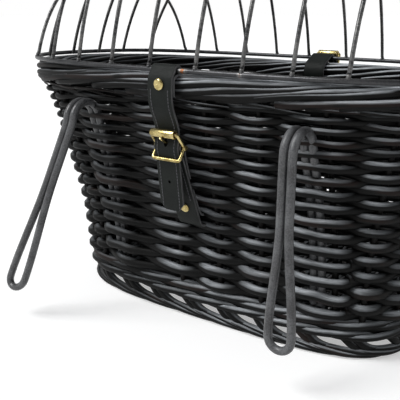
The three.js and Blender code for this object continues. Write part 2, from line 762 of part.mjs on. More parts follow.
// Leather round the middle bar, from its outer side over the top to its inner side
function loopOverBar(place) {
  return [-35, -5, 25, 55, 85, 115, 145, 175].map((degrees) => {
    const angle = THREE.MathUtils.degToRad(degrees);
    return place(strapLoopRadius * Math.cos(angle), strapLoopRadius * Math.sin(angle));
  });
}

// Leather round the ring's wire, from one angle to another, in a side view
function turnRoundWire(wire, fromDegrees, toDegrees, steps) {
  const radius = RING_WIRE_RADIUS + RUNNING_CLEARANCE + CLOSURE_THICKNESS / 2;
  const points = [];
  for (let i = 0; i <= steps; i += 1) {
    const angle = THREE.MathUtils.degToRad(fromDegrees + ((toDegrees - fromDegrees) * i) / steps);
    points.push(at(wire.x + radius * Math.cos(angle), wire.y + radius * Math.sin(angle)));
  }
  return points;
}

const NEAR = -1;
const FAR = 1;
const borderOut = RING_HALF_WIDTH - BORDER_INSET + BORDER_HALF_THICKNESS;

// Hook side: the closure strap hangs from the ring and is buckled to a strap in the weave
const nearWire = at(RING_HALF_WIDTH, RING_HEIGHT);
const NEAR_BUCKLE_HEIGHT = 167;
const NEAR_BUCKLE_STAND_OFF = 5; // from the wall to the middle bar
const nearBuckleOut = wallOuter(NEAR_BUCKLE_HEIGHT).halfWidth + NEAR_BUCKLE_STAND_OFF;
const nearBuckle = buckleFrame(at(nearBuckleOut, NEAR_BUCKLE_HEIGHT), 0);
const NEAR_SLOT_HEIGHT = 96; // where the buckle strap goes into the weave
const NEAR_RETURN_HEIGHT = 106; // where its end comes out again
const CLOSURE_RIVET_DROP = 13; // from the ring
const CLOSURE_LAYERS_BEND = 7; // over the rivet, where the two layers part to go round the wire
const CLOSURE_BACK_END = 9; // under the rivet
const CLOSURE_FRONT_BEND = 16; // under the rivet, where the strap turns towards the buckle
const CLOSURE_BEND_HEIGHT = 140;
const CLOSURE_BEND_STAND_OFF = 10.8; // from the wall
const CLOSURE_LOW_HEIGHT = 124;
const CLOSURE_LOW_STAND_OFF = 11.6;
const CLOSURE_TIP_HEIGHT = 111;
const CLOSURE_TIP_STAND_OFF = 13;
const SPARE_HOLE_HEIGHT = 138;
const BUCKLE_RIVET_HEIGHT = 114;
const FOLD_BOTTOM_HEIGHT = 110; // the folded layer of the buckle strap, which the rivet holds
const FOLD_TOP_HEIGHT = 130;
const LOOP_END_HEIGHT = 140; // where the other end of the buckle strap stops
const LOOP_INNER_DROP = 10; // from the middle bar to where the loop starts, next to the wall
const LOOP_OUTER_DROP = 12; // and where it ends, outside
const COVER_TOP_DROP = 22;
const COVER_BOTTOM_HEIGHT = 104;
const SLOT_STAND_OFF = 2.5; // how far out of the wall the strap turns into the weave

const closureRivetHeight = RING_HEIGHT - CLOSURE_RIVET_DROP;
const backLayerOut = borderOut + 2 * CLEARANCE + RIVET_BACK_HEIGHT + CLOSURE_THICKNESS / 2;
const frontLayerOut = backLayerOut + CLOSURE_THICKNESS + CLEARANCE;

function outOfWall(height, standOff) {
  return at(wallOuter(height).halfWidth + standOff, height);
}

function addClosureStrap() {
  const half = CLOSURE_THICKNESS / 2;
  const overBar = nearBuckle(STRAP_AWAY, 0);
  const underBar = nearBuckle(
    LOWER_BAR_AWAY - BUCKLE_ROD_RADIUS - CLEARANCE - half,
    LOWER_BAR_ALONG,
  );
  const route = roundedRoute([
    at(backLayerOut, closureRivetHeight - CLOSURE_BACK_END),
    at(backLayerOut, closureRivetHeight + CLOSURE_LAYERS_BEND),
    ...turnRoundWire(nearWire, -80, -360, 10),
    at(frontLayerOut, closureRivetHeight + CLOSURE_LAYERS_BEND),
    at(frontLayerOut, closureRivetHeight - CLOSURE_FRONT_BEND),
    ...underRoller(nearBuckle, CLOSURE_THICKNESS), overBar, underBar,
    outOfWall(CLOSURE_BEND_HEIGHT, CLOSURE_BEND_STAND_OFF),
    outOfWall(CLOSURE_LOW_HEIGHT, CLOSURE_LOW_STAND_OFF),
    outOfWall(CLOSURE_TIP_HEIGHT, CLOSURE_TIP_STAND_OFF),
  ]);
  const end = route[route.length - 1];
  const hole = nearBuckle(STRAP_AWAY - 0.6, PRONG_HOLE_ALONG);
  const spareHole = outOfWall(SPARE_HOLE_HEIGHT, CLOSURE_BEND_STAND_OFF);
  addPiece('closure_strap', cut(strip(route, CLOSURE_THICKNESS, NEAR), [
    punch(at(frontLayerOut, closureRivetHeight), at(1, 0), RIVET_SHANK_RADIUS + CLEARANCE, NEAR),
    punch(hole, at(1, 0.63), STRAP_HOLE_RADIUS, NEAR, PRONG_HOLE_LENGTH / (2 * STRAP_HOLE_RADIUS)),
    punch(spareHole, at(1, 0), STRAP_HOLE_RADIUS * 0.7, NEAR),
    ...tipCorners(end, NEAR),
  ]), leather);
  const faces = half + CLEARANCE;
  addPiece('closure_rivet', rivet(
    at(frontLayerOut + faces, closureRivetHeight),
    at(backLayerOut - faces, closureRivetHeight),
    at(1, 0),
    NEAR,
  ), brass);
}

// The two layers of the buckle strap lie this far out from the wall, below the buckle
const foldedLayer = RIVET_BACK_HEIGHT + 2 * CLEARANCE + BUCKLE_STRAP_THICKNESS / 2;
const coveringLayer = foldedLayer + (BUCKLE_STRAP_THICKNESS + CLEARANCE) * 1.02;

function buckleStrapRoute() {
  const inside = -WALL_THICKNESS - CLEARANCE - BUCKLE_STRAP_THICKNESS / 2;
  return roundedRoute([
    outOfWall(LOOP_END_HEIGHT, foldedLayer),
    outOfWall(NEAR_BUCKLE_HEIGHT - LOOP_INNER_DROP, foldedLayer),
    ...loopOverBar(nearBuckle).reverse(),
    outOfWall(NEAR_BUCKLE_HEIGHT - LOOP_OUTER_DROP, coveringLayer + CLEARANCE),
    outOfWall(NEAR_BUCKLE_HEIGHT - COVER_TOP_DROP, coveringLayer),
    outOfWall(COVER_BOTTOM_HEIGHT, coveringLayer), outOfWall(NEAR_SLOT_HEIGHT, SLOT_STAND_OFF),
    outOfWall(NEAR_SLOT_HEIGHT, inside), outOfWall(NEAR_RETURN_HEIGHT, inside),
    outOfWall(NEAR_RETURN_HEIGHT, 0), outOfWall(FOLD_BOTTOM_HEIGHT, foldedLayer),
    outOfWall(FOLD_TOP_HEIGHT, foldedLayer),
  ]);
}

function addBuckleStrap() {
  const rise = outOfWall(FOLD_TOP_HEIGHT, 0).sub(outOfWall(FOLD_BOTTOM_HEIGHT, 0)).normalize();
  const through = at(rise.y, -rise.x);
  const holePlace = outOfWall(BUCKLE_RIVET_HEIGHT, (foldedLayer + coveringLayer) / 2);
  addPiece('buckle_strap', cut(strip(buckleStrapRoute(), BUCKLE_STRAP_THICKNESS, NEAR), [
    prongSlot(nearBuckle, NEAR),
    punch(holePlace, through, RIVET_SHANK_RADIUS + CLEARANCE, NEAR),
  ]), leather);
  const reach = BUCKLE_STRAP_THICKNESS + 1.5 * CLEARANCE;
  addPiece('buckle_rivet', rivet(
    holePlace.clone().addScaledVector(through, reach),
    holePlace.clone().addScaledVector(through, -reach),
    through,
    NEAR,
  ), brass);
}

// Far side: the hinge strap goes round the border and over the ring's wire
const farWire = at(RING_HALF_WIDTH, RING_HEIGHT - rimFall(RING_HALF_WIDTH));
const FAR_BUCKLE_DROP = 10; // from the ring to the middle bar
const FAR_BUCKLE_TILT = 20;
const FAR_BUCKLE_STAND_OFF = 6; // from the border to the middle bar
const FAR_FOLD_BEND_DROP = 8; // from the middle bar to the start of the straight end of its loop
const FAR_FOLD_END_DROP = 16;
const FAR_FOLD_OUT = 1.2; // from the middle bar
const FAR_TIP_BEND_DROP = 26; // from the middle bar
const FAR_TIP_BEND_OUT = 4;
const FAR_TIP_DROP = 42;
const farBuckleOut = borderOut + FAR_BUCKLE_STAND_OFF;
const farBuckleHeight = farWire.y - FAR_BUCKLE_DROP;
const farBuckle = buckleFrame(at(farBuckleOut, farBuckleHeight), FAR_BUCKLE_TILT);
const hingeStrapHeight = farWire.y - BORDER_DROP - BORDER_HALF_HEIGHT - CLEARANCE
  - BUCKLE_STRAP_THICKNESS / 2;

function addHingeStrap() {
  const half = BUCKLE_STRAP_THICKNESS / 2;
  const borderMiddle = RING_HALF_WIDTH - BORDER_INSET;
  const toCorner = 1 / Math.cos(Math.PI / ROD_SIDES);
  const roundBorder = (degrees) => {
    const angle = THREE.MathUtils.degToRad(degrees);
    const room = 2 * CLEARANCE + half;
    const out = borderMiddle + (BORDER_HALF_THICKNESS * toCorner + room) * Math.cos(angle);
    const rise = (BORDER_HALF_HEIGHT * toCorner + room) * Math.sin(angle);
    return at(out, RING_HEIGHT - BORDER_DROP - rimFall(out) + rise);
  };
  const [, underFarRoller] = underRoller(farBuckle, BUCKLE_STRAP_THICKNESS + 2 * CLEARANCE);
  const overBar = farBuckle(STRAP_AWAY, 0);
  const underBar = farBuckle(LOWER_BAR_AWAY - BUCKLE_ROD_RADIUS - CLEARANCE - half, LOWER_BAR_ALONG);
  const end = at(farBuckleOut - BUCKLE_STRAP_THICKNESS / 2, farBuckleHeight - FAR_TIP_DROP);
  const foldOut = farBuckleOut + FAR_FOLD_OUT;
  const route = roundedRoute([
    at(foldOut, farBuckleHeight - FAR_FOLD_END_DROP),
    at(foldOut, farBuckleHeight - FAR_FOLD_BEND_DROP),
    ...loopOverBar(farBuckle),
    ...[0, -30, -60, -90, -120, -150, -180, -210, -235].map(roundBorder),
    ...turnRoundWire(farWire, 120, 80, 2), underFarRoller, overBar, underBar,
    at(farBuckleOut + FAR_TIP_BEND_OUT, farBuckleHeight - FAR_TIP_BEND_DROP), end,
  ]);
  const hole = farBuckle(STRAP_AWAY - 0.6, PRONG_HOLE_ALONG);
  addPiece('hinge_strap', cut(strip(route, BUCKLE_STRAP_THICKNESS, FAR), [
    prongSlot(farBuckle, FAR),
    punch(hole, at(1, 1), STRAP_HOLE_RADIUS, FAR, PRONG_HOLE_LENGTH / (2 * STRAP_HOLE_RADIUS)),
    ...tipCorners(end, FAR),
  ]), leather);
}

// Room in the wall for what goes through it

function wallCutters() {
  const tools = HOOKS.map((hook) => {
    const route = hookRod(hook);
    const legs = [];
    [route, route.slice().reverse()].forEach((points) => {
      const inWall = points.slice(0, 13);
      inWall[0] = inWall[0].clone().add(new THREE.Vector3(0, 0, -CLEARANCE));
      legs.push(rodAlong(inWall, HOOK_ROD_RADIUS + CLEARANCE, ROD_SIDES));
    });
    return legs;
  }).flat();
  tools.push(strip(buckleStrapRoute(), BUCKLE_STRAP_THICKNESS, NEAR, CLEARANCE));
  const halfWidth = STRAP_WIDTH / 2 + CLEARANCE;
  const halfSlot = BUCKLE_STRAP_THICKNESS / 2 + 3 * CLEARANCE;
  tools.push(boxBetween(
    [STRAP_PLACE - halfWidth, RING_HALF_WIDTH - 3 * WALL_THICKNESS, hingeStrapHeight - halfSlot],
    [STRAP_PLACE + halfWidth, RING_HALF_WIDTH + WALL_THICKNESS, hingeStrapHeight + 2 * WALL_THICKNESS],
  ));
  return tools;
}

addPiece('woven_base', wovenBase(), willow);
addPiece('foot_border', footBorder(), willow);
addPiece('foot_wale', wale(), willow);
addPiece('woven_wall', cut(wallShell(), wallCutters()), willow);
addPiece('rim_border', rimBorder(), willow);
HOOKS.forEach((hook) => {
  addPiece(hook.name, rodAlong(hookRod(hook), HOOK_ROD_RADIUS, ROD_SIDES), coatedSteel);
});
addPiece('dome_ring', domeRing(), blackWire);
crossHoopPlaces.forEach((x, i) => {
  addPiece(`cross_hoop_${i + 1}`, crossHoop(x), blackWire);
});
lengthHoopPlaces.forEach((y, i) => {
  addPiece(`length_hoop_${i + 1}`, lengthHoop(y), blackWire);
});
addClosureStrap();
addBuckleStrap();
addBuckle('near_buckle', nearBuckle, NEAR);
addHingeStrap();
addBuckle('far_buckle', farBuckle, FAR);

// The origin is under the middle of the whole basket, hooks and buckles included
const outerBox = new THREE.Box3().setFromObject(basket);
basket.position.y = -(outerBox.min.y + outerBox.max.y) / 2;

export default basket;
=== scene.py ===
"""Bicycle basket: woven willow, coated steel hooks, and a hinged wire dome with leather straps.

Lengths are in millimetres in the basket's own frame, and become metres where a mesh is made.
X runs along the basket, the hook side faces -Y, and the basket stands on Z = 0.
"""

import logging
import math
from dataclasses import dataclass, field
from enum import Enum
from typing import Optional, Sequence

import bpy
import numpy as np
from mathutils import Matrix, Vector


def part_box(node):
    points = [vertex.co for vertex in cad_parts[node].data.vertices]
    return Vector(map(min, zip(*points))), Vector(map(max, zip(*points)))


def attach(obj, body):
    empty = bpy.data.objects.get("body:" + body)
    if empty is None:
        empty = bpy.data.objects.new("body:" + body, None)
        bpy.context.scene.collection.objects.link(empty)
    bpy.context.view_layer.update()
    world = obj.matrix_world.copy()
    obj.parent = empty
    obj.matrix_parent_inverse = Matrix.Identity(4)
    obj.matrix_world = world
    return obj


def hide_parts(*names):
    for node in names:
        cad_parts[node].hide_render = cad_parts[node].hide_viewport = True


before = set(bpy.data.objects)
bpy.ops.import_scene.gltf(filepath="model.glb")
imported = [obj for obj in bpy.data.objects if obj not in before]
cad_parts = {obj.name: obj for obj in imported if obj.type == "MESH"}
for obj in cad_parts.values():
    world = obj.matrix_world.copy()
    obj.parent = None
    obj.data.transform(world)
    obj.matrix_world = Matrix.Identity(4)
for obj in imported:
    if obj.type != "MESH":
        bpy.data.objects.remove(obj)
log = logging.getLogger("basket")

# Types that many hints name: a number or an array of them, a pair, and a colour or a place

Object = bpy.types.Object
Socket = bpy.types.NodeSocket
Array = np.ndarray
Numbers = float | np.ndarray
Pair = tuple[float, float]
Triple = tuple[float, float, float]

# Values that several classes share, lengths in millimetres

MM = 0.001
TINY = 1e-9
UP = np.array([0.0, 0.0, 1.0])
ALONG = np.array([1.0, 0.0, 0.0])
STEEP = 0.8
CLEARANCE = 0.3
RUNNING_CLEARANCE = 0.35
STAKE_COUNT = 24
SEED = 41
CORE_TONE = 0.1
FULL_TURN = 6.28
MAP_STARTS = 900.0
NOISE_RANGE = (0.3, 0.7)
# Painted highlight on the willow: how far up a rod's section it starts, and over how much it grows.
HIGHLIGHT_FROM = 0.10
HIGHLIGHT_OVER = 0.45
# Painted highlight along X: weaker towards -X, where less light glints off the rods.
HIGHLIGHT_PLACES = (-150.0, -70.0, -25.0, 15.0)
HIGHLIGHT_SHARES = (0.58, 0.66, 0.90, 1.0)


class Side(Enum):
    """The two long sides of the basket, by the sign of Y."""

    NEAR = -1
    FAR = 1


class Body(Enum):
    """The bodies that pieces ride on."""

    BASKET = "basket"
    DOME = "dome"
    CLOSURE = "closure"
    NEAR_ROLLER = "near_roller"
    NEAR_PRONG = "near_prong"
    FAR_ROLLER = "far_roller"


# Meshes


def unit(vectors: Array) -> Array:
    """Returns the vectors at length one."""
    return vectors / np.maximum(np.linalg.norm(vectors, axis=-1, keepdims=True), TINY)


def directions_along(path: Array, ring: bool = False) -> Array:
    """Finds the way a path runs at each of its points.

    Args:
        path: The points, one row each.
        ring: True where the last point joins the first.

    Returns:
        One unit vector for each point.
    """
    if ring:
        return unit(np.roll(path, -1, axis=0) - np.roll(path, 1, axis=0))
    return unit(np.gradient(path, axis=0))


def crossing_axis(run: Array) -> Array:
    """Returns an axis that a direction doesn't run along: Z, or X for a steep one."""
    return UP if abs(run[2]) < STEEP else ALONG


def carried_normals(path: Array, runs: Array) -> Array:
    """Carries a normal along a path without twisting it.

    Args:
        path: The points, one row each.
        runs: The unit direction at each point.

    Returns:
        One unit normal for each point.
    """
    normal = crossing_axis(runs[0])
    normals = np.empty_like(path)
    for i, run in enumerate(runs):
        normal = normal - run * float(normal @ run)
        normal = normal / max(float(np.linalg.norm(normal)), TINY)
        normals[i] = normal
    return normals


def lengths_along(path: Array) -> Array:
    """Returns how far along a path each of its points is."""
    steps = np.linalg.norm(np.diff(path, axis=0), axis=1)
    return np.concatenate([[0.0], np.cumsum(steps)])


def resampled(path: Array, spacing: float) -> Array:
    """Sets points at even distances along a path.

    Args:
        path: The points, one row each.
        spacing: About how far apart the new points are.

    Returns:
        The new points, the ends kept.
    """
    lengths = lengths_along(path)
    count = max(2, int(round(lengths[-1] / spacing)) + 1)
    wanted = np.linspace(0.0, lengths[-1], count)
    return np.stack([np.interp(wanted, lengths, path[:, k]) for k in range(path.shape[1])], axis=1)


def smoothed(path: Array, rounds: int = 1) -> Array:
    """Eases the corners of a path.

    Args:
        path: The points, one row each.
        rounds: How many times each point moves towards its neighbours.

    Returns:
        The new points, the ends kept.
    """
    eased = path.copy()
    for _ in range(rounds):
        eased[1:-1] = 0.25 * eased[:-2] + 0.5 * eased[1:-1] + 0.25 * eased[2:]
    return eased


def corner_arc(start: Array, corner: Array, end: Array, steps: int) -> list[Array]:
    """Rounds a corner.

    Args:
        start: Where the arc starts, before the corner.
        corner: The corner.
        end: Where it ends, after the corner.
        steps: How many steps it takes.

    Returns:
        The points of the arc, both ends with them.
    """
    return [
        (1 - part) ** 2 * start + 2 * part * (1 - part) * corner + part ** 2 * end
        for part in np.linspace(0.0, 1.0, steps + 1)
    ]


def highlight_along_x(place: Numbers) -> Array:
    """Returns the strength of the painted highlight at a place along X, in millimetres."""
    return np.interp(place, HIGHLIGHT_PLACES, HIGHLIGHT_SHARES)


def map_start(rng: np.random.Generator) -> float:
    """Returns where a rod's map starts, so that no two rods show the same marks."""
    return float(rng.uniform(0.0, MAP_STARTS))


class MeshMaker:
    """Gathers closed forms, with a map along each of them and a tone for each, into one mesh."""

    least_radius = 0.02

    def __init__(self) -> None:
        """Starts with nothing in it."""
        self.points: list[Array] = []
        self.tones: list[Array] = []
        self.painted_highlights: list[Array] = []
        self.corners: list[Array] = []
        self.sizes: list[Array] = []
        self.maps: list[Array] = []
        self.slots: list[Array] = []
        self.smooth: list[Array] = []
        self.count = 0

    def grid(
        self,
        loops: Array,
        along: Array,
        around: Array,
        tone: Numbers = 0.5,
        ring: bool = False,
        slot: int = 0,
        side_slots: Optional[Array] = None,
        end_slot: Optional[int] = None,
        painted_highlight: Numbers = 0.5,
    ) -> None:
        """Adds a form made of closed loops, each joined to the next.

        Args:
            loops: The points, as loops by points by three.
            along: How far along each loop is, with one more value where ring is True.
            around: How far around each point is, with one more value to close the loop.
            tone: The form's own shade, from 0 to 1, the same all over or one for each loop.
            ring: True where the last loop joins the first. Otherwise both ends are closed.
            slot: The material slot.
            side_slots: One slot for each strip of faces around, in place of slot.
            end_slot: The slot of the two ends.
            painted_highlight: How strong the painted highlight is, from 0 to 1, the same all over
            or one for each point.
        """
        rows, sides = loops.shape[:2]
        bands = rows if ring else rows - 1
        i = np.arange(bands)[:, None]
        j = np.arange(sides)[None, :]
        after, beside = (i + 1) % rows, (j + 1) % sides
        quads = np.stack([
            i * sides + j, i * sides + beside, after * sides + beside, after * sides + j,
        ], axis=-1)
        shape = (bands, sides)
        u0, u1 = (np.broadcast_to(u[:bands, None], shape) for u in (along[:-1], along[1:]))
        v0, v1 = (np.broadcast_to(v[None, :], shape) for v in (around[:-1], around[1:]))
        quad_map = np.stack([
            np.stack([u0, v0], -1), np.stack([u0, v1], -1),
            np.stack([u1, v1], -1), np.stack([u1, v0], -1),
        ], axis=-2)
        self.corners.append(quads.reshape(-1) + self.count)
        self.maps.append(quad_map.reshape(-1, 2))
        self.sizes.append(np.full(bands * sides, 4))
        strips = np.full(sides, slot) if side_slots is None else side_slots
        self.slots.append(np.broadcast_to(strips[None, :], shape).reshape(-1))
        self.smooth.append(np.ones(bands * sides, bool))
        if not ring:
            last = (rows - 1) * sides
            for ends, place in ((np.arange(sides)[::-1], 0), (last + np.arange(sides), -1)):
                flat = loops.reshape(-1, 3)[ends]
                spread = flat - flat.mean(axis=0)
                self.corners.append(ends + self.count)
                self.maps.append(np.stack([
                    along[place] + spread[:, 2], around[0] + spread[:, 0] + spread[:, 1],
                ], axis=-1))
                self.sizes.append(np.array([sides]))
                self.slots.append(np.array([slot if end_slot is None else end_slot]))
                self.smooth.append(np.zeros(1, bool))
        self.points.append(loops.reshape(-1, 3))
        self.tones.append(np.repeat(np.broadcast_to(np.asarray(tone, float), (rows,)), sides))
        self.painted_highlights.append(np.broadcast_to(np.asarray(painted_highlight, float), (rows, sides)).ravel())
        self.count += rows * sides

    def rod(
        self,
        path: Array,
        radius: Numbers,
        sides: int = 8,
        tone: Numbers = 0.5,
        ring: bool = False,
        slot: int = 0,
        upright: bool = False,
        tall: Numbers = 1.0,
        start: float = 0.0,
        painted_highlight: Numbers = 0.5,
    ) -> None:
        """Adds a round rod along a path.

        Args:
            path: The points of its middle.
            radius: Its radius, the same all along or one for each point.
            sides: How many sides its section has.
            tone: Its own shade, from 0 to 1.
            ring: True where it closes on itself.
            slot: The material slot.
            upright: True where the section keeps one axis near Z, for a rod that runs level.
            tall: How much the section is stretched along its second axis.
            start: Where its map starts.
            painted_highlight: How strong the painted highlight on its upper side is, from 0 to 1,
            the same all along or one for each point.
        """
        runs = directions_along(path, ring)
        if upright:
            across = unit(np.cross(runs, UP))
            second = np.cross(across, runs)
        else:
            across = carried_normals(path, runs)
            second = np.cross(runs, across)
            if ring:
                across, second = self.untwisted(across, second, runs)
        radii = np.broadcast_to(np.asarray(radius, float), (len(path),))
        heights = radii * tall
        angle = 2 * math.pi * (np.arange(sides) + 0.5) / sides
        loops = (
            path[:, None, :]
            + (np.cos(angle)[None, :, None] * across[:, None, :]) * radii[:, None, None]
            + (np.sin(angle)[None, :, None] * second[:, None, :]) * heights[:, None, None]
        )
        if upright:
            loops = loops[:, ::-1]
        # Painted highlight: a lighter colour on the rod's upper side, where light from above falls.
        lift = (loops[:, :, 2] - path[:, None, 2]) / radii[:, None]
        worn = np.broadcast_to(np.asarray(painted_highlight, float), (len(path),))[:, None]
        worn = worn * np.clip((lift - HIGHLIGHT_FROM) / HIGHLIGHT_OVER, 0.0, 1.0)
        closed = np.vstack([path, path[:1]]) if ring else path
        along = start + lengths_along(closed)
        around = np.linspace(0.0, 2 * math.pi * float(radii.mean()), sides + 1)
        self.grid(loops, along, around, tone, ring, slot, painted_highlight=worn)

    @staticmethod
    def untwisted(across: Array, second: Array, runs: Array) -> tuple[Array, Array]:
        """Spreads the twist that a carried normal gathers round a ring over the whole ring.

        Args:
            across: The carried normals.
            second: The second axes.
            runs: The unit directions.

        Returns:
            The two sets of axes, which now meet at the join.
        """
        carried = across[-1] - runs[0] * float(across[-1] @ runs[0])
        twist = math.atan2(float(carried @ second[0]), float(carried @ across[0]))
        back = -twist * np.arange(len(across)) / (len(across) - 1)
        turned = across * np.cos(back)[:, None] + second * np.sin(back)[:, None]
        return turned, np.cross(runs, turned)

    def turned(
        self,
        outline: Sequence[Pair],
        centre: Array,
        axis: Array,
        sides: int = 32,
        ring: bool = False,
        slots: Optional[Sequence[int]] = None,
    ) -> None:
        """Adds a form turned on a lathe.

        Args:
            outline: Pairs of radius and distance along the axis.
            centre: The point on the axis where the distance is nothing.
            axis: The way the axis runs.
            sides: How many steps it is turned in.
            ring: Not used. The outline always closes on itself, as for a tube.
            slots: One material slot for each stretch of the outline, in place of the first.
        """
        run = unit(np.asarray(axis, float))
        first = unit(np.cross(run, crossing_axis(run)))
        second = np.cross(run, first)
        angle = 2 * math.pi * np.arange(sides) / sides
        spokes = np.cos(angle)[:, None] * first + np.sin(angle)[:, None] * second
        pairs = np.array([(max(r, self.least_radius), h) for r, h in outline])
        loops = (
            np.asarray(centre, float)[None, None, :]
            + pairs[None, :, 0, None] * spokes[:, None, :]
            + pairs[None, :, 1, None] * run[None, None, :]
        )
        closed = np.vstack([pairs, pairs[:1]])
        around = lengths_along(closed)
        along = np.linspace(0.0, 2 * math.pi * float(pairs[:, 0].max()), sides + 1)
        side_slots = None if slots is None else np.array(slots)
        self.grid(loops, along, around, ring=True, side_slots=side_slots)

    def blob(
        self, centre: Array, sizes: Sequence[float], rng: np.random.Generator, tone: float,
    ) -> None:
        """Adds a small uneven lump.

        Args:
            centre: Its middle.
            sizes: Its half sizes along X, Y and Z.
            rng: The seeded source of its unevenness.
            tone: Its own shade.
        """
        rows, sides, rough = 7, 10, 0.12
        tilt = np.linspace(-0.49 * math.pi, 0.49 * math.pi, rows)
        angle = 2 * math.pi * np.arange(sides) / sides
        shell = np.stack([
            np.cos(tilt)[:, None] * np.cos(angle)[None, :],
            np.cos(tilt)[:, None] * np.sin(angle)[None, :],
            np.repeat(np.sin(tilt)[:, None], sides, axis=1),
        ], axis=-1)
        shell = shell * (1.0 + rough * rng.uniform(-1.0, 1.0, (rows, sides, 1)))
        loops = np.asarray(centre, float) + shell * np.asarray(sizes, float)
        self.grid(loops, np.linspace(0.0, 4.0, rows), np.linspace(0.0, 8.0, sides + 1), tone)

    def build(self, name: str, materials: Sequence[bpy.types.Material]) -> Object:
        """Makes the object.

        Args:
            name: The name of the object and its mesh.
            materials: The materials of its slots, in order.

        Returns:
            The new object, in metres.
        """
        points = np.concatenate(self.points) + np.array([0.0, SHIFT_Y, 0.0])
        corners = np.concatenate(self.corners).astype(np.int32)
        sizes = np.concatenate(self.sizes).astype(np.int32)
        starts = np.concatenate([[0], np.cumsum(sizes)[:-1]]).astype(np.int32)
        mesh = bpy.data.meshes.new(name)
        mesh.vertices.add(len(points))
        mesh.vertices.foreach_set("co", (points * MM).astype(np.float32).ravel())
        mesh.loops.add(len(corners))
        mesh.loops.foreach_set("vertex_index", corners)
        mesh.polygons.add(len(sizes))
        mesh.polygons.foreach_set("loop_start", starts)
        mesh.polygons.foreach_set("material_index", np.concatenate(self.slots).astype(np.int32))
        mesh.polygons.foreach_set("use_smooth", np.concatenate(self.smooth))
        mesh.update(calc_edges=True)
        layer = mesh.uv_layers.new(name="run")
        layer.data.foreach_set("uv", (np.concatenate(self.maps) * MM).astype(np.float32).ravel())
        # The mesh carries each point's tone and the strength of its painted highlight.
        for kind, values in (("tone", self.tones), ("painted_highlight", self.painted_highlights)):
            layer = mesh.attributes.new(kind, "FLOAT", "POINT")
            layer.data.foreach_set("value", np.concatenate(values).astype(np.float32))
        mesh.validate()
        made = bpy.data.objects.new(name, mesh)
        bpy.context.scene.collection.objects.link(made)
        for material in materials:
            mesh.materials.append(material)
        return made


def wall_middle_y() -> float:
    """Returns where the middle of the woven wall is along Y, in millimetres."""
    low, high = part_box("woven_wall")
    return (low[1] + high[1]) / 2 / MM


SHIFT_Y = wall_middle_y()


def hollowed(piece: Object, cutter: Object) -> None:
    """Cuts one object out of another and deletes the cutter.

    Args:
        piece: The object that is cut.
        cutter: The object whose space is taken out.
    """
    change = piece.modifiers.new("cut", "BOOLEAN")
    change.operation = "DIFFERENCE"
    change.solver = "EXACT"
    change.object = cutter
    depsgraph = bpy.context.evaluated_depsgraph_get()
    depsgraph.update()
    made = bpy.data.meshes.new_from_object(piece.evaluated_get(depsgraph))
    piece.modifiers.clear()
    spent = piece.data
    piece.data = made
    made.name = piece.name
    bpy.data.meshes.remove(spent)
    spent_cutter = cutter.data
    bpy.data.objects.remove(cutter)
    bpy.data.meshes.remove(spent_cutter)


def place_piece(piece: Object, body: Body, node: str) -> None:
    """Puts a piece on its body, hides the solid that it stands for and logs its face count.

    Args:
        piece: The new object.
        body: The body it rides on.
        node: The solid that it stands for.
    """
    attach(piece, body.value)
    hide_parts(node)
    log.info("%s: %d faces", piece.name, len(piece.data.polygons))


# Finishes


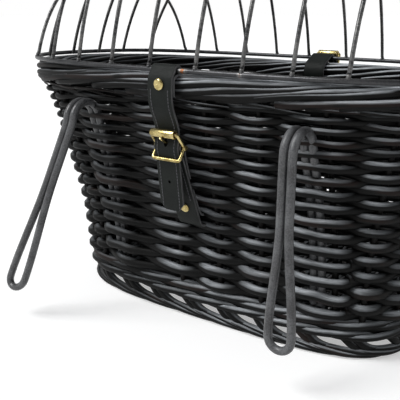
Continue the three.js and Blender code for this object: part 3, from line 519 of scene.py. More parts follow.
class Shader:
    """A node material under construction."""

    def __init__(self, name: str) -> None:
        """Starts a material that has only its surface and output.

        Args:
            name: The name of the material.
        """
        self.material = bpy.data.materials.new(name)
        self.material.use_nodes = True
        self.tree = self.material.node_tree
        self.surface = self.tree.nodes["Principled BSDF"]

    def node(self, kind: str, **values: object) -> bpy.types.Node:
        """Adds a node.

        Args:
            kind: What node it is.
            values: The properties that it gets.

        Returns:
            The node.
        """
        made = self.tree.nodes.new(kind)
        for key, value in values.items():
            setattr(made, key, value)
        return made

    def link(self, start: Socket, end: Socket) -> None:
        """Joins two sockets."""
        self.tree.links.new(start, end)

    def scaled(self, place: Socket, scale: Triple) -> Socket:
        """Scales a place.

        Args:
            place: The place.
            scale: Its three scales.

        Returns:
            The scaled place.
        """
        made = self.node("ShaderNodeMapping")
        made.inputs["Scale"].default_value = scale
        self.link(place, made.inputs["Vector"])
        return made.outputs["Vector"]

    def run_map(self, along: float, around: float) -> Socket:
        """Returns the map along the piece, in features per metre along and around it."""
        source = self.node("ShaderNodeUVMap", uv_map="run")
        return self.scaled(source.outputs["UV"], (along, around, 1.0))

    def solid_map(self, scale: float) -> Socket:
        """Returns the place in space, in features per metre."""
        source = self.node("ShaderNodeTexCoord")
        return self.scaled(source.outputs["Object"], (scale, scale, scale))

    def noise(
        self, place: Socket, scale: float = 1.0, detail: float = 3.0, rough: float = 0.55,
    ) -> Socket:
        """Adds a noise texture.

        Args:
            place: Where on the surface it is read.
            scale: Its scale on top of the map's own.
            detail: How many finer layers it has.
            rough: How strong the finer layers are.

        Returns:
            Its value, from 0 to 1.
        """
        made = self.node("ShaderNodeTexNoise")
        made.inputs["Scale"].default_value = scale
        made.inputs["Detail"].default_value = detail
        made.inputs["Roughness"].default_value = rough
        self.link(place, made.inputs["Vector"])
        return made.outputs["Fac"]

    def cells(self, place: Socket, scale: float = 1.0, feature: str = "F1") -> Socket:
        """Adds a cell texture.

        Args:
            place: Where on the surface it is read.
            scale: Its scale on top of the map's own.
            feature: Which distance it measures.

        Returns:
            The distance.
        """
        made = self.node("ShaderNodeTexVoronoi", feature=feature)
        made.inputs["Scale"].default_value = scale
        self.link(place, made.inputs["Vector"])
        return made.outputs["Distance"]

    def painted(self, kind: str = "tone") -> Socket:
        """Returns a value that the mesh carries, its tone or its painted highlight."""
        return self.node("ShaderNodeAttribute", attribute_name=kind).outputs["Fac"]

    def spread(
        self, value: Socket, low: float, high: float, to_low: float, to_high: float,
    ) -> Socket:
        """Maps one range of values to another.

        Args:
            value: The value that is mapped.
            low: The start of its range.
            high: The end of its range.
            to_low: What the start becomes.
            to_high: What the end becomes.

        Returns:
            The new value, held inside the new range.
        """
        made = self.node("ShaderNodeMapRange")
        for name, number in (
            ("From Min", low), ("From Max", high), ("To Min", to_low), ("To Max", to_high),
        ):
            made.inputs[name].default_value = number
        self.link(value, made.inputs["Value"])
        return made.outputs["Result"]

    def sum(self, first: Socket, second: Socket, kind: str = "ADD") -> Socket:
        """Joins two values by arithmetic.

        Args:
            first: The first value.
            second: The second value.
            kind: What is done with them.

        Returns:
            What comes out.
        """
        made = self.node("ShaderNodeMath", operation=kind)
        self.link(first, made.inputs[0])
        self.link(second, made.inputs[1])
        return made.outputs["Value"]

    def ramp(self, value: Socket, stops: Sequence[tuple[float, Triple]]) -> Socket:
        """Turns a value into a colour.

        Args:
            value: The value.
            stops: Pairs of a place and a linear colour.

        Returns:
            The colour.
        """
        made = self.node("ShaderNodeValToRGB")
        elements = made.color_ramp.elements
        while len(elements) < len(stops):
            elements.new(0.5)
        for element, (place, colour) in zip(elements, stops):
            element.position = place
            element.color = (*colour, 1.0)
        self.link(value, made.inputs["Fac"])
        return made.outputs["Color"]

    def mix(
        self,
        share: Socket,
        first: Socket | Triple,
        second: Socket | Triple,
    ) -> Socket:
        """Mixes two colours.

        Args:
            share: How much of the second shows.
            first: A socket or a linear colour.
            second: A socket or a linear colour.

        Returns:
            The mixed colour.
        """
        made = self.node("ShaderNodeMix", data_type="RGBA")
        self.link(share, made.inputs["Factor"])
        for socket, colour in ((made.inputs[6], first), (made.inputs[7], second)):
            if isinstance(colour, tuple):
                socket.default_value = (*colour, 1.0)
            else:
                self.link(colour, socket)
        return made.outputs[2]

    def bump(
        self,
        height: Socket,
        strength: float,
        depth: float,
        under: Optional[Socket] = None,
    ) -> Socket:
        """Raises the surface.

        Args:
            height: The height, from 0 to 1.
            strength: How strong it is.
            depth: How deep it is, in metres.
            under: The surface direction that it adds to.

        Returns:
            The new surface direction.
        """
        made = self.node("ShaderNodeBump")
        made.inputs["Strength"].default_value = strength
        made.inputs["Distance"].default_value = depth
        self.link(height, made.inputs["Height"])
        if under is not None:
            self.link(under, made.inputs["Normal"])
        return made.outputs["Normal"]

    def into(self, socket: str, source: Socket) -> None:
        """Links a value into the surface."""
        self.link(source, self.surface.inputs[socket])

    def set(self, **values: float) -> None:
        """Sets numbers on the surface's own sockets, with _ for each space in their names."""
        for key, value in values.items():
            self.surface.inputs[key.replace("_", " ")].default_value = value


@dataclass(frozen=True)
class Willow:
    """Lacquered willow, nearly black: a painted silvery highlight on top, fibres and small knots.
    """

    name: str
    dark: Triple = (0.0022, 0.0023, 0.0022)
    middle: Triple = (0.0052, 0.0051, 0.0048)
    brown: Triple = (0.0125, 0.0078, 0.0066)
    knot: Triple = (0.004, 0.0035, 0.003)
    # Painted highlight: a silvery grey colour on the rods' upper sides, streaked by noise.
    painted_highlight_colour: Triple = (0.600, 0.635, 0.670)
    painted_highlight_share: float = 1.0
    least_painted_highlight: float = 0.35
    painted_highlight_noise: Pair = (0.17, 0.36)
    crown_range: Pair = (0.42, 1.0)
    knot_range: Pair = (0.06, 0.13)
    tone_places: tuple[float, ...] = (0.0, 0.45, 0.85, 1.0)
    tone_spread: float = 0.35
    cloud_map: Pair = (28.0, 120.0)
    streak_map: Pair = (90.0, 1500.0)
    knot_map: Pair = (17.0, 70.0)
    gloss: float = 0.13
    roughness: Pair = (0.17, 0.30)
    side_roughness: float = 0.30
    fibre_depth: float = 0.0005
    wave_depth: float = 0.0012
    knot_depth: float = 0.0008

    def make(self) -> bpy.types.Material:
        """Makes the material.

        Returns:
            The material.
        """
        s = Shader(self.name)
        tone = s.painted()
        cloud = s.noise(s.run_map(*self.cloud_map), 1.0, 2.0)
        streak = s.noise(s.run_map(*self.streak_map), 1.0, 4.0, 0.6)
        clouded = s.spread(cloud, 0.25, 0.75, -self.tone_spread, self.tone_spread)
        colours = (self.dark, self.dark, self.middle, self.brown)
        body = s.ramp(s.sum(tone, clouded), list(zip(self.tone_places, colours)))
        # Painted highlight: the mesh's highlight value and streaky noise mix in the silvery colour,
        # and the same value makes the rod glossier.
        crown = s.spread(s.painted("painted_highlight"), *self.crown_range, 0.0, 1.0)
        highlight_streaks = s.sum(cloud, streak, "MULTIPLY")
        highlight_streaks = s.spread(highlight_streaks, *self.painted_highlight_noise, self.least_painted_highlight, self.painted_highlight_share)
        coloured = s.mix(s.sum(crown, highlight_streaks, "MULTIPLY"), body, self.painted_highlight_colour)
        knot = s.spread(s.cells(s.run_map(*self.knot_map)), *self.knot_range, 1.0, 0.0)
        s.into("Base Color", s.mix(knot, coloured, self.knot))
        dull = s.spread(crown, 0.0, 1.0, self.side_roughness, 0.0)
        s.into("Roughness", s.sum(s.spread(streak, *NOISE_RANGE, *self.roughness), dull))
        fibre = s.bump(streak, 0.35, self.fibre_depth)
        wave = s.bump(cloud, 0.5, self.wave_depth, fibre)
        s.into("Normal", s.bump(knot, 0.6, self.knot_depth, wave))
        s.set(Specular_IOR_Level=self.gloss)
        return s.material


@dataclass(frozen=True)
class CoatedSteel:
    """Grey plastic-dipped steel with a fine matte grain."""

    name: str = "coated_steel"
    light: Triple = (0.118, 0.121, 0.126)
    dark: Triple = (0.040, 0.040, 0.042)
    fine_scale: float = 850.0
    broad_scale: float = 70.0
    contrast: float = 0.20
    roughness: Pair = (0.28, 0.42)
    gloss: float = 0.5
    fine_depth: float = 0.0004
    broad_depth: float = 0.0012

    def make(self) -> bpy.types.Material:
        """Makes the material.

        Returns:
            The material.
        """
        s = Shader(self.name)
        fine = s.noise(s.solid_map(self.fine_scale), 1.0, 2.0)
        broad = s.noise(s.solid_map(self.broad_scale), 1.0, 3.0)
        shade = s.sum(broad, s.spread(fine, *NOISE_RANGE, -self.contrast, self.contrast))
        s.into("Base Color", s.ramp(shade, list(zip(NOISE_RANGE, (self.dark, self.light)))))
        s.into("Roughness", s.spread(broad, *NOISE_RANGE, *self.roughness))
        wave = s.bump(broad, 0.25, self.broad_depth)
        s.into("Normal", s.bump(fine, 0.35, self.fine_depth, wave))
        s.set(Specular_IOR_Level=self.gloss)
        return s.material


@dataclass(frozen=True)
class BlackWire:
    """Black painted wire, with thin places where the metal shows and a little rust at welds."""

    name: str = "black_wire"
    paint: Triple = (0.030, 0.031, 0.034)
    worn: Triple = (0.215, 0.213, 0.208)
    rust: Triple = (0.30, 0.10, 0.025)
    grain_scale: float = 900.0
    broad_scale: float = 55.0
    stripe_map: Pair = (620.0, 190.0)
    bare_tones: Pair = (0.1, 0.5)
    least_bare: float = 0.12
    rusty_tones: Pair = (0.9, 0.96)
    rust_grain: Pair = (0.42, 0.56)
    least_rust: float = 0.15
    metallic: float = 0.75
    roughness: Pair = (0.26, 0.44)
    grain_depth: float = 0.0003
    broad_depth: float = 0.0008

    def make(self) -> bpy.types.Material:
        """Makes the material.

        Returns:
            The material.
        """
        s = Shader(self.name)
        grain = s.noise(s.solid_map(self.grain_scale), 1.0, 3.0)
        broad = s.noise(s.solid_map(self.broad_scale), 1.0, 3.0)
        stripe = s.noise(s.run_map(*self.stripe_map), 1.0, 3.0, 0.6)
        shown = s.sum(s.spread(broad, 0.35, 0.65, 0.0, 0.5), s.spread(stripe, 0.4, 0.6, 0.0, 0.5))
        painted = s.spread(s.painted(), *self.bare_tones, self.least_bare, 1.0)
        coated = s.mix(s.sum(shown, painted, "MULTIPLY"), self.paint, self.worn)
        rusty = s.spread(s.painted(), *self.rusty_tones, 0.0, 1.0)
        patch = s.spread(grain, *self.rust_grain, self.least_rust, 1.0)
        s.into("Base Color", s.mix(s.sum(rusty, patch, "MULTIPLY"), coated, self.rust))
        s.into("Roughness", s.spread(grain, *NOISE_RANGE, *self.roughness))
        wave = s.bump(broad, 0.15, self.broad_depth)
        s.into("Normal", s.bump(grain, 0.2, self.grain_depth, wave))
        s.set(Metallic=self.metallic)
        return s.material


@dataclass(frozen=True)
class Leather:
    """Dark strap leather with a pebbled grain, or its pale cut edge."""

    name: str
    dark: Triple
    light: Triple
    roughness: Pair = (0.42, 0.62)
    grain_depth: float = 0.0005
    warp_scale: float = 500.0
    pebble_scale: float = 1150.0
    crease_scale: float = 160.0
    broad_scale: float = 45.0
    gloss: float = 0.16

    def make(self) -> bpy.types.Material:
        """Makes the material.

        Returns:
            The material.
        """
        s = Shader(self.name)
        place = s.run_map(1.0, 1.0)
        warp = s.noise(place, self.warp_scale, 2.0)
        pebble = s.cells(place, self.pebble_scale, "SMOOTH_F1")
        crease = s.noise(place, self.crease_scale, 4.0, 0.65)
        broad = s.noise(place, self.broad_scale, 2.0)
        shade = s.sum(s.sum(crease, broad), s.spread(pebble, 0.0, 0.6, -0.12, 0.18))
        shade = s.spread(shade, 0.7, 1.35, 0.0, 1.0)
        s.into("Base Color", s.ramp(shade, [(0.0, self.dark), (1.0, self.light)]))
        s.into("Roughness", s.spread(s.sum(pebble, crease), 0.4, 1.1, *self.roughness))
        s.set(Specular_IOR_Level=self.gloss)
        low = s.bump(crease, 0.4, self.grain_depth)
        s.into("Normal", s.bump(s.sum(pebble, warp), 0.45, self.grain_depth * 0.7, low))
        return s.material


@dataclass(frozen=True)
class Metal:
    """Bare metal that has dulled: brass outside, copper coloured inside a tube."""

    name: str
    bright: Triple
    dull: Triple
    roughness: Pair = (0.2, 0.42)
    broad_scale: float = 160.0
    fine_scale: float = 1400.0
    contrast: float = 0.08
    dull_places: Pair = (0.36, 0.62)
    metallic: float = 0.95
    fine_depth: float = 0.0003
    broad_depth: float = 0.0006

    def make(self) -> bpy.types.Material:
        """Makes the material.

        Returns:
            The material.
        """
        s = Shader(self.name)
        broad = s.noise(s.solid_map(self.broad_scale), 1.0, 4.0, 0.6)
        fine = s.noise(s.solid_map(self.fine_scale), 1.0, 2.0)
        shade = s.sum(broad, s.spread(fine, *NOISE_RANGE, -self.contrast, self.contrast))
        s.into("Base Color", s.ramp(shade, list(zip(self.dull_places, (self.dull, self.bright)))))
        s.into("Roughness", s.spread(broad, *NOISE_RANGE, self.roughness[1], self.roughness[0]))
        wave = s.bump(broad, 0.1, self.broad_depth)
        s.into("Normal", s.bump(fine, 0.12, self.fine_depth, wave))
        s.set(Metallic=self.metallic)
        return s.material


class Finishes:
    """Every finish on the basket, made once."""

    def __init__(self) -> None:
        """Makes the materials."""
        self.willow = Willow("willow_rods").make()
        # Stakes, floor sticks and some rim tips: browner willow with a much weaker painted
        # highlight.
        self.stake = Willow(
            "willow_stakes",
            dark=(0.0024, 0.0019, 0.0017), middle=(0.0060, 0.0045, 0.0040),
            brown=(0.015, 0.0085, 0.0065), painted_highlight_colour=(0.060, 0.056, 0.055), painted_highlight_share=0.6,
            gloss=0.15,
        ).make()
        self.steel = CoatedSteel().make()
        self.wire = BlackWire().make()
        self.leather = Leather(
            "strap_leather", (0.0055, 0.0070, 0.0062), (0.0125, 0.0150, 0.0135),
        ).make()
        self.edge = Leather(
            "strap_cut_edge", (0.075, 0.076, 0.078), (0.170, 0.170, 0.172), (0.6, 0.8), 0.0004,
        ).make()
        self.thread = Leather(
            "strap_thread", (0.070, 0.070, 0.076), (0.150, 0.150, 0.160), (0.5, 0.7), 0.0002,
        ).make()
        self.brass = Metal(
            "dulled_brass", (0.64, 0.53, 0.24), (0.27, 0.205, 0.075), (0.14, 0.30),
        ).make()
        self.copper = Metal(
            "copper_inside", (0.42, 0.17, 0.075), (0.16, 0.055, 0.025), (0.35, 0.55),
        ).make()


# Outlines


def on_outline(
    turn: Array,
    half_length: Numbers,
    half_width: Numbers,
    squareness: Numbers,
    out: Numbers = 0.0,
) -> tuple[Array, Array]:
    """Finds points on a rounded rectangle seen from above.

    Args:
        turn: The angle of each point round the outline, in radians.
        half_length: The outline's reach along X.
        half_width: The outline's reach along Y.
        squareness: Its power, 2 for an ellipse and more for squarer corners.
        out: How far each point stands out from the outline.

    Returns:
        The points' X and their Y.
    """
    c, s = np.cos(turn), np.sin(turn)
    reach = (np.abs(c) ** squareness + np.abs(s) ** squareness) ** (-1.0 / squareness)
    ux, uy = reach * c, reach * s
    nx = np.sign(ux) * np.abs(ux) ** (squareness - 1) / half_length
    ny = np.sign(uy) * np.abs(uy) ** (squareness - 1) / half_width
    size = np.maximum(np.hypot(nx, ny), TINY)
    return half_length * ux + out * nx / size, half_width * uy + out * ny / size


def width_at(x: float, half_length: float, half_width: float, squareness: float) -> float:
    """Returns how far out along Y an outline is at a place along X."""
    inside = max(0.0, 1.0 - abs(x / half_length) ** squareness)
    return half_width * inside ** (1.0 / squareness)


RING_HALF_LENGTH = 212.0
RING_HALF_WIDTH = 139.0
RING_SQUARENESS = 3.7
RING_HEIGHT = 230.0
RIM_FALL = 12.0
RING_SETTLE = 3.0


def rim_fall(y: Numbers) -> Numbers:
    """Returns how much lower the rim is at a place along Y."""
    return RIM_FALL * ((y + RING_HALF_WIDTH) / (2 * RING_HALF_WIDTH)) ** 2


def ring_settle(y: Numbers) -> Numbers:
    """Returns how much the closed dome has sunk towards the border at a place along Y."""
    return RING_SETTLE * (1.0 - ((y + RING_HALF_WIDTH) / (2 * RING_HALF_WIDTH)) ** 2)


class Plan:
    """An outline divided into shares of its length, from the middle of the hook side towards +X."""

    def __init__(self, half_length: float, half_width: float, squareness: float) -> None:
        """Measures the outline.

        Args:
            half_length: Its reach along X.
            half_width: Its reach along Y.
            squareness: Its power.
        """
        eighth = 900
        self.sizes = (half_length, half_width, squareness)
        self.turns = np.linspace(-0.5 * math.pi, 1.5 * math.pi, 8 * eighth + 1)
        x, y = on_outline(self.turns, *self.sizes)
        run = lengths_along(np.stack([x, y], axis=1))
        self.length = float(run[-1])
        self.shares = run / self.length
        near = np.abs(self.turns + 0.5 * math.pi) < 0.25 * math.pi
        wrapped = np.concatenate([self.turns[-eighth - 1:-1] - 2 * math.pi, self.turns[near]])
        order = np.argsort(wrapped)
        self.near_turns = wrapped[order]
        self.near_x = on_outline(self.near_turns, 1.0, 1.0, squareness)[0]
        near_shares = np.interp(np.mod(self.near_turns + 0.5 * math.pi, 2 * math.pi),
                                self.turns + 0.5 * math.pi, self.shares)
        self.near_shares = np.where(near_shares > 0.5, near_shares - 1.0, near_shares)

    def even(self, count: int) -> Array:
        """Returns this many distances, evenly spaced round the outline."""
        return np.linspace(0.0, self.length, count + 1)[:-1]

    def turn(self, share: Numbers) -> Array:
        """Returns the angle at each share of the length."""
        return np.interp(np.mod(share, 1.0), self.shares, self.turns)

    def near_share(self, x: float, half_length: float) -> float:
        """Returns the share of a place along X on the hook side of an outline this long."""
        return float(np.interp(x / half_length, self.near_x, self.near_shares))

    def at(
        self,
        distance: Array,
        out: Numbers,
        height: Numbers,
        falls: float = 0.0,
    ) -> Array:
        """Finds points near the outline.

        Args:
            distance: How far along the outline each is.
            out: How far out from it each is.
            height: How high each is.
            falls: How much of the rim's fall they follow.

        Returns:
            The points, one row each.
        """
        x, y = on_outline(self.turn(np.asarray(distance) / self.length), *self.sizes, out)
        return np.stack([x, y, height - falls * rim_fall(y)], axis=1)


# Woven body


@dataclass
class WallShape:
    """The surface that the wall's rods are woven on."""

    bottom: float = 35.3
    top: float = 204.7
    foot_half_length: float = 173.5
    foot_half_width: float = 101.5
    foot_squareness: float = 3.95
    top_half_length: float = 208.0
    top_half_width: float = 135.0
    bulge: float = 3.0
    thickness: float = 11.0
    waist: float = 0.0
    waist_heights: tuple[float, ...] = (
        35.0, 47.0, 58.0, 69.0, 80.0, 92.0, 125.0, 150.0, 180.0, 195.0, 205.0,
    )
    waist_shares: tuple[float, ...] = (
        0.0, 0.30, 0.45, 0.70, 0.93, 1.0, 1.0, 0.85, 0.55, 0.25, 0.1,
    )
    plan: Plan = field(init=False)

    def __post_init__(self) -> None:
        """Measures the outline half way up."""
        self.plan = Plan(*[float(v) for v in self.sizes(np.array(0.5 * (self.bottom + self.top)))])

    def up(self, height: Numbers) -> Array:
        """Returns the share of the wall's height."""
        return (np.asarray(height, float) - self.bottom) / (self.top - self.bottom)

    def drawn_in(self, height: Numbers) -> Array:
        """Returns how far the woven rods are drawn in at a height, most below the middle."""
        return self.waist * np.interp(height, self.waist_heights, self.waist_shares)

    def sizes(self, height: Numbers) -> tuple[Array, Array, Array]:
        """Measures the wall's outer face.

        Args:
            height: At what height, before the rim's fall.

        Returns:
            Its half length, half width and squareness.
        """
        up = self.up(height)
        bulge = self.bulge * np.sin(math.pi * np.clip(up, 0.0, 1.0)) - self.drawn_in(height)
        length = self.foot_half_length + (self.top_half_length - self.foot_half_length) * up
        width = self.foot_half_width + (self.top_half_width - self.foot_half_width) * up
        square = self.foot_squareness + (RING_SQUARENESS - self.foot_squareness) * up
        return length + bulge, width + bulge, square

    def at(self, share: Array, height: Numbers, out: Numbers = 0.0) -> Array:
        """Finds points by the wall.

        Args:
            share: The share of the way round, from the middle of the hook side towards +X.
            height: The height before the rim's fall.
            out: How far out from the middle of the wall's thickness.

        Returns:
            The points, one row each.
        """
        height = np.broadcast_to(np.asarray(height, float), np.shape(share))
        length, width, square = self.sizes(height)
        x, y = on_outline(self.plan.turn(share), length, width, square, out - self.thickness / 2)
        falls = np.clip(self.up(height), 0.0, 1.0)
        return np.stack([x, y, height - falls * rim_fall(y)], axis=1)

    def near_out(self, height: float, stand_off: float) -> Pair:
        """Returns a place in the side view this far out from the middle of the hook side."""
        return float(self.sizes(height)[1]) + stand_off, height


@dataclass(frozen=True)
class HookPlace:
    """A stake that stands beside a hook's legs, and the width that the rods pass as one stake."""

    stake_place: float
    middle: float
    half: float


@dataclass
class WovenWall:
    """Rods woven in front of one stake and behind the next, row on row."""

    shape: WallShape
    finishes: Finishes
    pitch_heights: tuple[float, ...] = (35.0, 60.0, 100.0, 150.0, 180.0, 205.0)
    pitches: tuple[float, ...] = (7.2, 7.1, 6.2, 5.4, 4.3, 3.9)
    rod_share: float = 0.57
    slimness: float = 0.97
    thick_end: float = 1.07
    taper: float = 0.16
    tall: float = 1.14
    squash: float = 0.07
    lap: float = 0.28
    tip_length: float = 16.0
    tip_tuck: float = 1.2
    butt_length: float = 14.0
    butt_tuck: float = 1.0
    end_shift: float = 0.7
    # Painted highlight on the rods' crowns: its strength, and how much more it is where a rod comes
    # out from behind a stake.
    painted_highlight: float = 0.90
    emerging_highlight: float = 0.24
    # Painted shade: how much darker a rod's tone is where it passes behind a stake.
    under_rod_shade: float = 0.25
    sway: float = 4.7
    hook_sway: float = 6.3
    hook_ease: float = 14.0
    strap_sway: float = 3.4
    strap_ease: float = 12.0
    strap_room: tuple[float, float, float, float] = (-22.0, 12.0, 94.0, 162.0)
    stake_radius: float = 2.5
    stake_shift: float = -2.0
    stake_reach: float = 6.0
    stake_bend: float = 0.35
    # Strength of the weak painted highlight on the stakes.
    stake_highlight: float = 0.2
    hook_places: dict[int, HookPlace] = field(default_factory=lambda: {
        2: HookPlace(119.6, 112.0, 11.0), STAKE_COUNT - 2: HookPlace(-85.8, -93.0, 10.5),
    })
    moved_stakes: dict[int, float] = field(default_factory=lambda: {
        3: 161.0, STAKE_COUNT - 3: -131.0, STAKE_COUNT - 4: -166.0,
    })
    group_heights: Pair = (40.0, 197.0)
    steps_per_stake: int = 12
    height_noise: float = 0.55
    radius_noise: float = 0.05

    def pitch_at(self, height: float) -> float:
        """Returns how far it is from one row to the next at a height."""
        return float(np.interp(height, self.pitch_heights, self.pitches))

    def row_heights(self) -> list[float]:
        """Returns the height of each row, closer together towards the top."""
        heights = []
        height = self.shape.bottom + 0.5 * self.pitches[0]
        while height < self.shape.top - 1.0:
            heights.append(height)
            height += self.pitch_at(height)
        return heights

    def near_share(self, place: float, height: float) -> float:
        """Returns the share, from 0 to 1, of a place along X on the hook side."""
        length = float(self.shape.sizes(height)[0]) - self.shape.thickness / 2
        return self.shape.plan.near_share(place, length) % 1.0

    def stake_share(self, stake: int, height: float) -> float:
        """Finds where a stake stands, those beside a hook held straight.

        Args:
            stake: Its number.
            height: At what height.

        Returns:
            The share of the way round.
        """
        if stake in self.hook_places:
            return self.near_share(self.hook_places[stake].stake_place, height)
        if stake in self.moved_stakes:
            middle = 0.5 * (self.shape.bottom + self.shape.top)
            return self.near_share(self.moved_stakes[stake], middle)
        return ((stake + 0.5) / STAKE_COUNT + self.stake_shift / self.shape.plan.length) % 1.0

    def crossing_phase(self, share: Array, height: float) -> Array:
        """Counts stakes round the wall, with the count held where a rod passes a hook's legs.

        Args:
            share: The share of the way round.
            height: The row's height.

        Returns:
            The count at each share, whole at each stake.
        """
        shares, counts = [], []
        low, high = self.group_heights
        for stake in range(STAKE_COUNT):
            if stake in self.hook_places and low < height < high:
                group = self.hook_places[stake]
                for place in (group.middle - group.half, group.middle + group.half):
                    shares.append(self.near_share(place, height))
                    counts.append(stake)
            else:
                shares.append(self.stake_share(stake, height))
                counts.append(stake)
        tiled = np.concatenate([np.array(shares) + lap for lap in (-1.0, 0.0, 1.0, 2.0)])
        laps = np.concatenate([np.array(counts) + STAKE_COUNT * lap for lap in (-1, 0, 1, 2)])
        return np.interp(share, tiled, laps)

    def sway_at(self, share: Array, height: float) -> Array:
        """Measures how far a rod sways in and out: more by a hook, less under the straps.

        Args:
            share: The share of the way round.
            height: The row's height.

        Returns:
            The sway at each share.
        """
        places = self.shape.at(share, height)
        first, last, strap_bottom, strap_top = self.strap_room
        spans = []
        if self.group_heights[0] < height < self.group_heights[1]:
            spans += [
                (group.middle, group.half, self.hook_ease, self.hook_sway)
                for group in self.hook_places.values()
            ]
        if strap_bottom < height < strap_top:
            spans.append(
                (0.5 * (first + last), 0.5 * (last - first), self.strap_ease, self.strap_sway)
            )
        sway = np.full_like(share, self.sway)
        for middle, half, ease, wanted in spans:
            away = np.abs(places[:, 0] - middle) - half
            part = np.clip(1.0 - away / ease, 0.0, 1.0) * (places[:, 1] < 0)
            sway = sway + (wanted - sway) * part
        return sway

    def wander(self, share: Array, rng: np.random.Generator) -> Array:
        """Draws a smooth uneven line round the wall, about one high.

        Args:
            share: The share of the way round.
            rng: The seeded source of its unevenness.

        Returns:
            Its height at each share.
        """
        line = np.zeros_like(share)
        for turns in (3, 5, 8, 13, 21, 34):
            line += rng.normal(0.0, 0.5) * np.sin(2 * math.pi * (turns * share + rng.random()))
        return line

    def add_row(self, maker: MeshMaker, row: int, height: float, rng: np.random.Generator) -> None:
        """Adds one row, made of two rods that lap behind a stake.

        Args:
            maker: What the rods are added to.
            row: The row's number.
            height: Its height.
            rng: The seeded source of its unevenness.
        """
        radius = self.rod_share * self.pitch_at(height)
        sign = 1.0 if row % 2 == 0 else -1.0
        first = 2 * int(rng.integers(0, STAKE_COUNT // 2)) + (1 if sign > 0 else 0)
        state = rng.integers(0, 2 ** 31)
        for half in range(2):
            start = (first + half * STAKE_COUNT / 2 + 0.5) / STAKE_COUNT
            lap = self.lap / STAKE_COUNT
            count = STAKE_COUNT // 2 * self.steps_per_stake + 6
            share = np.linspace(start - lap, start + 0.5 + lap, count)
            phase = self.crossing_phase(share, height)
            crossing = np.cos(math.pi * phase) * sign
            out = self.sway_at(np.mod(share, 1.0), height) * crossing
            heights = height + self.height_noise * self.wander(share, np.random.default_rng(state))
            distance = (share - share[0]) * self.shape.plan.length
            tip = np.clip((distance[-1] - distance) / self.tip_length, 0.0, 1.0)
            butt = np.clip(distance / self.butt_length, 0.0, 1.0)
            out = out - (1 - tip) * self.tip_tuck - (1 - butt) * self.butt_tuck
            heights = heights + (1 - butt) * self.end_shift * radius
            heights = heights - (1 - tip) * self.end_shift * radius
            taper = self.thick_end - self.taper * distance / distance[-1]
            radii = radius * taper * (0.5 + 0.5 * tip)
            radii = radii * (1.0 + self.radius_noise * self.wander(share * 1.7 + 0.3, rng))
            path = self.shape.at(share, heights, out)
            # Painted highlight: strongest on the crown where the rod passes in front of a stake,
            # more towards where it comes out from behind one, and weaker towards -X.
            emerging = -np.sin(math.pi * phase) * sign
            painted_highlight = (0.5 + 0.5 * crossing) * (self.painted_highlight + self.emerging_highlight * emerging)
            # Painted shade: the tone is darker where the rod passes behind a stake.
            tone = (1.0 - self.under_rod_shade) + self.under_rod_shade * crossing
            maker.rod(
                path, radii * self.slimness, 8, float(rng.random()) * tone, upright=True,
                tall=self.tall - self.squash * np.abs(crossing), start=map_start(rng),
                painted_highlight=painted_highlight * highlight_along_x(path[:, 0]),
            )

    def build(self) -> None:
        """Builds the wall: its rows and its stakes."""
        rng = np.random.default_rng(SEED)
        maker = MeshMaker()
        for row, height in enumerate(self.row_heights()):
            self.add_row(maker, row, height, rng)
        for stake in range(STAKE_COUNT):
            low, high = self.shape.bottom - self.stake_reach, self.shape.top + self.stake_reach
            heights = np.linspace(low, high, 20)
            share = np.array([self.stake_share(stake, float(h)) for h in heights])
            path = self.shape.at(share, heights, self.stake_bend * np.sin(heights / 9.0 + stake))
            radii = np.linspace(self.stake_radius * 1.1, self.stake_radius * 0.85, len(path))
            # The stakes get a weak painted highlight.
            maker.rod(path, radii, 8, float(rng.random()) * 0.8, slot=1,
                      start=map_start(rng), painted_highlight=self.stake_highlight)
        piece = maker.build("willow_wall", [self.finishes.willow, self.finishes.stake])
        place_piece(piece, Body.BASKET, "woven_wall")


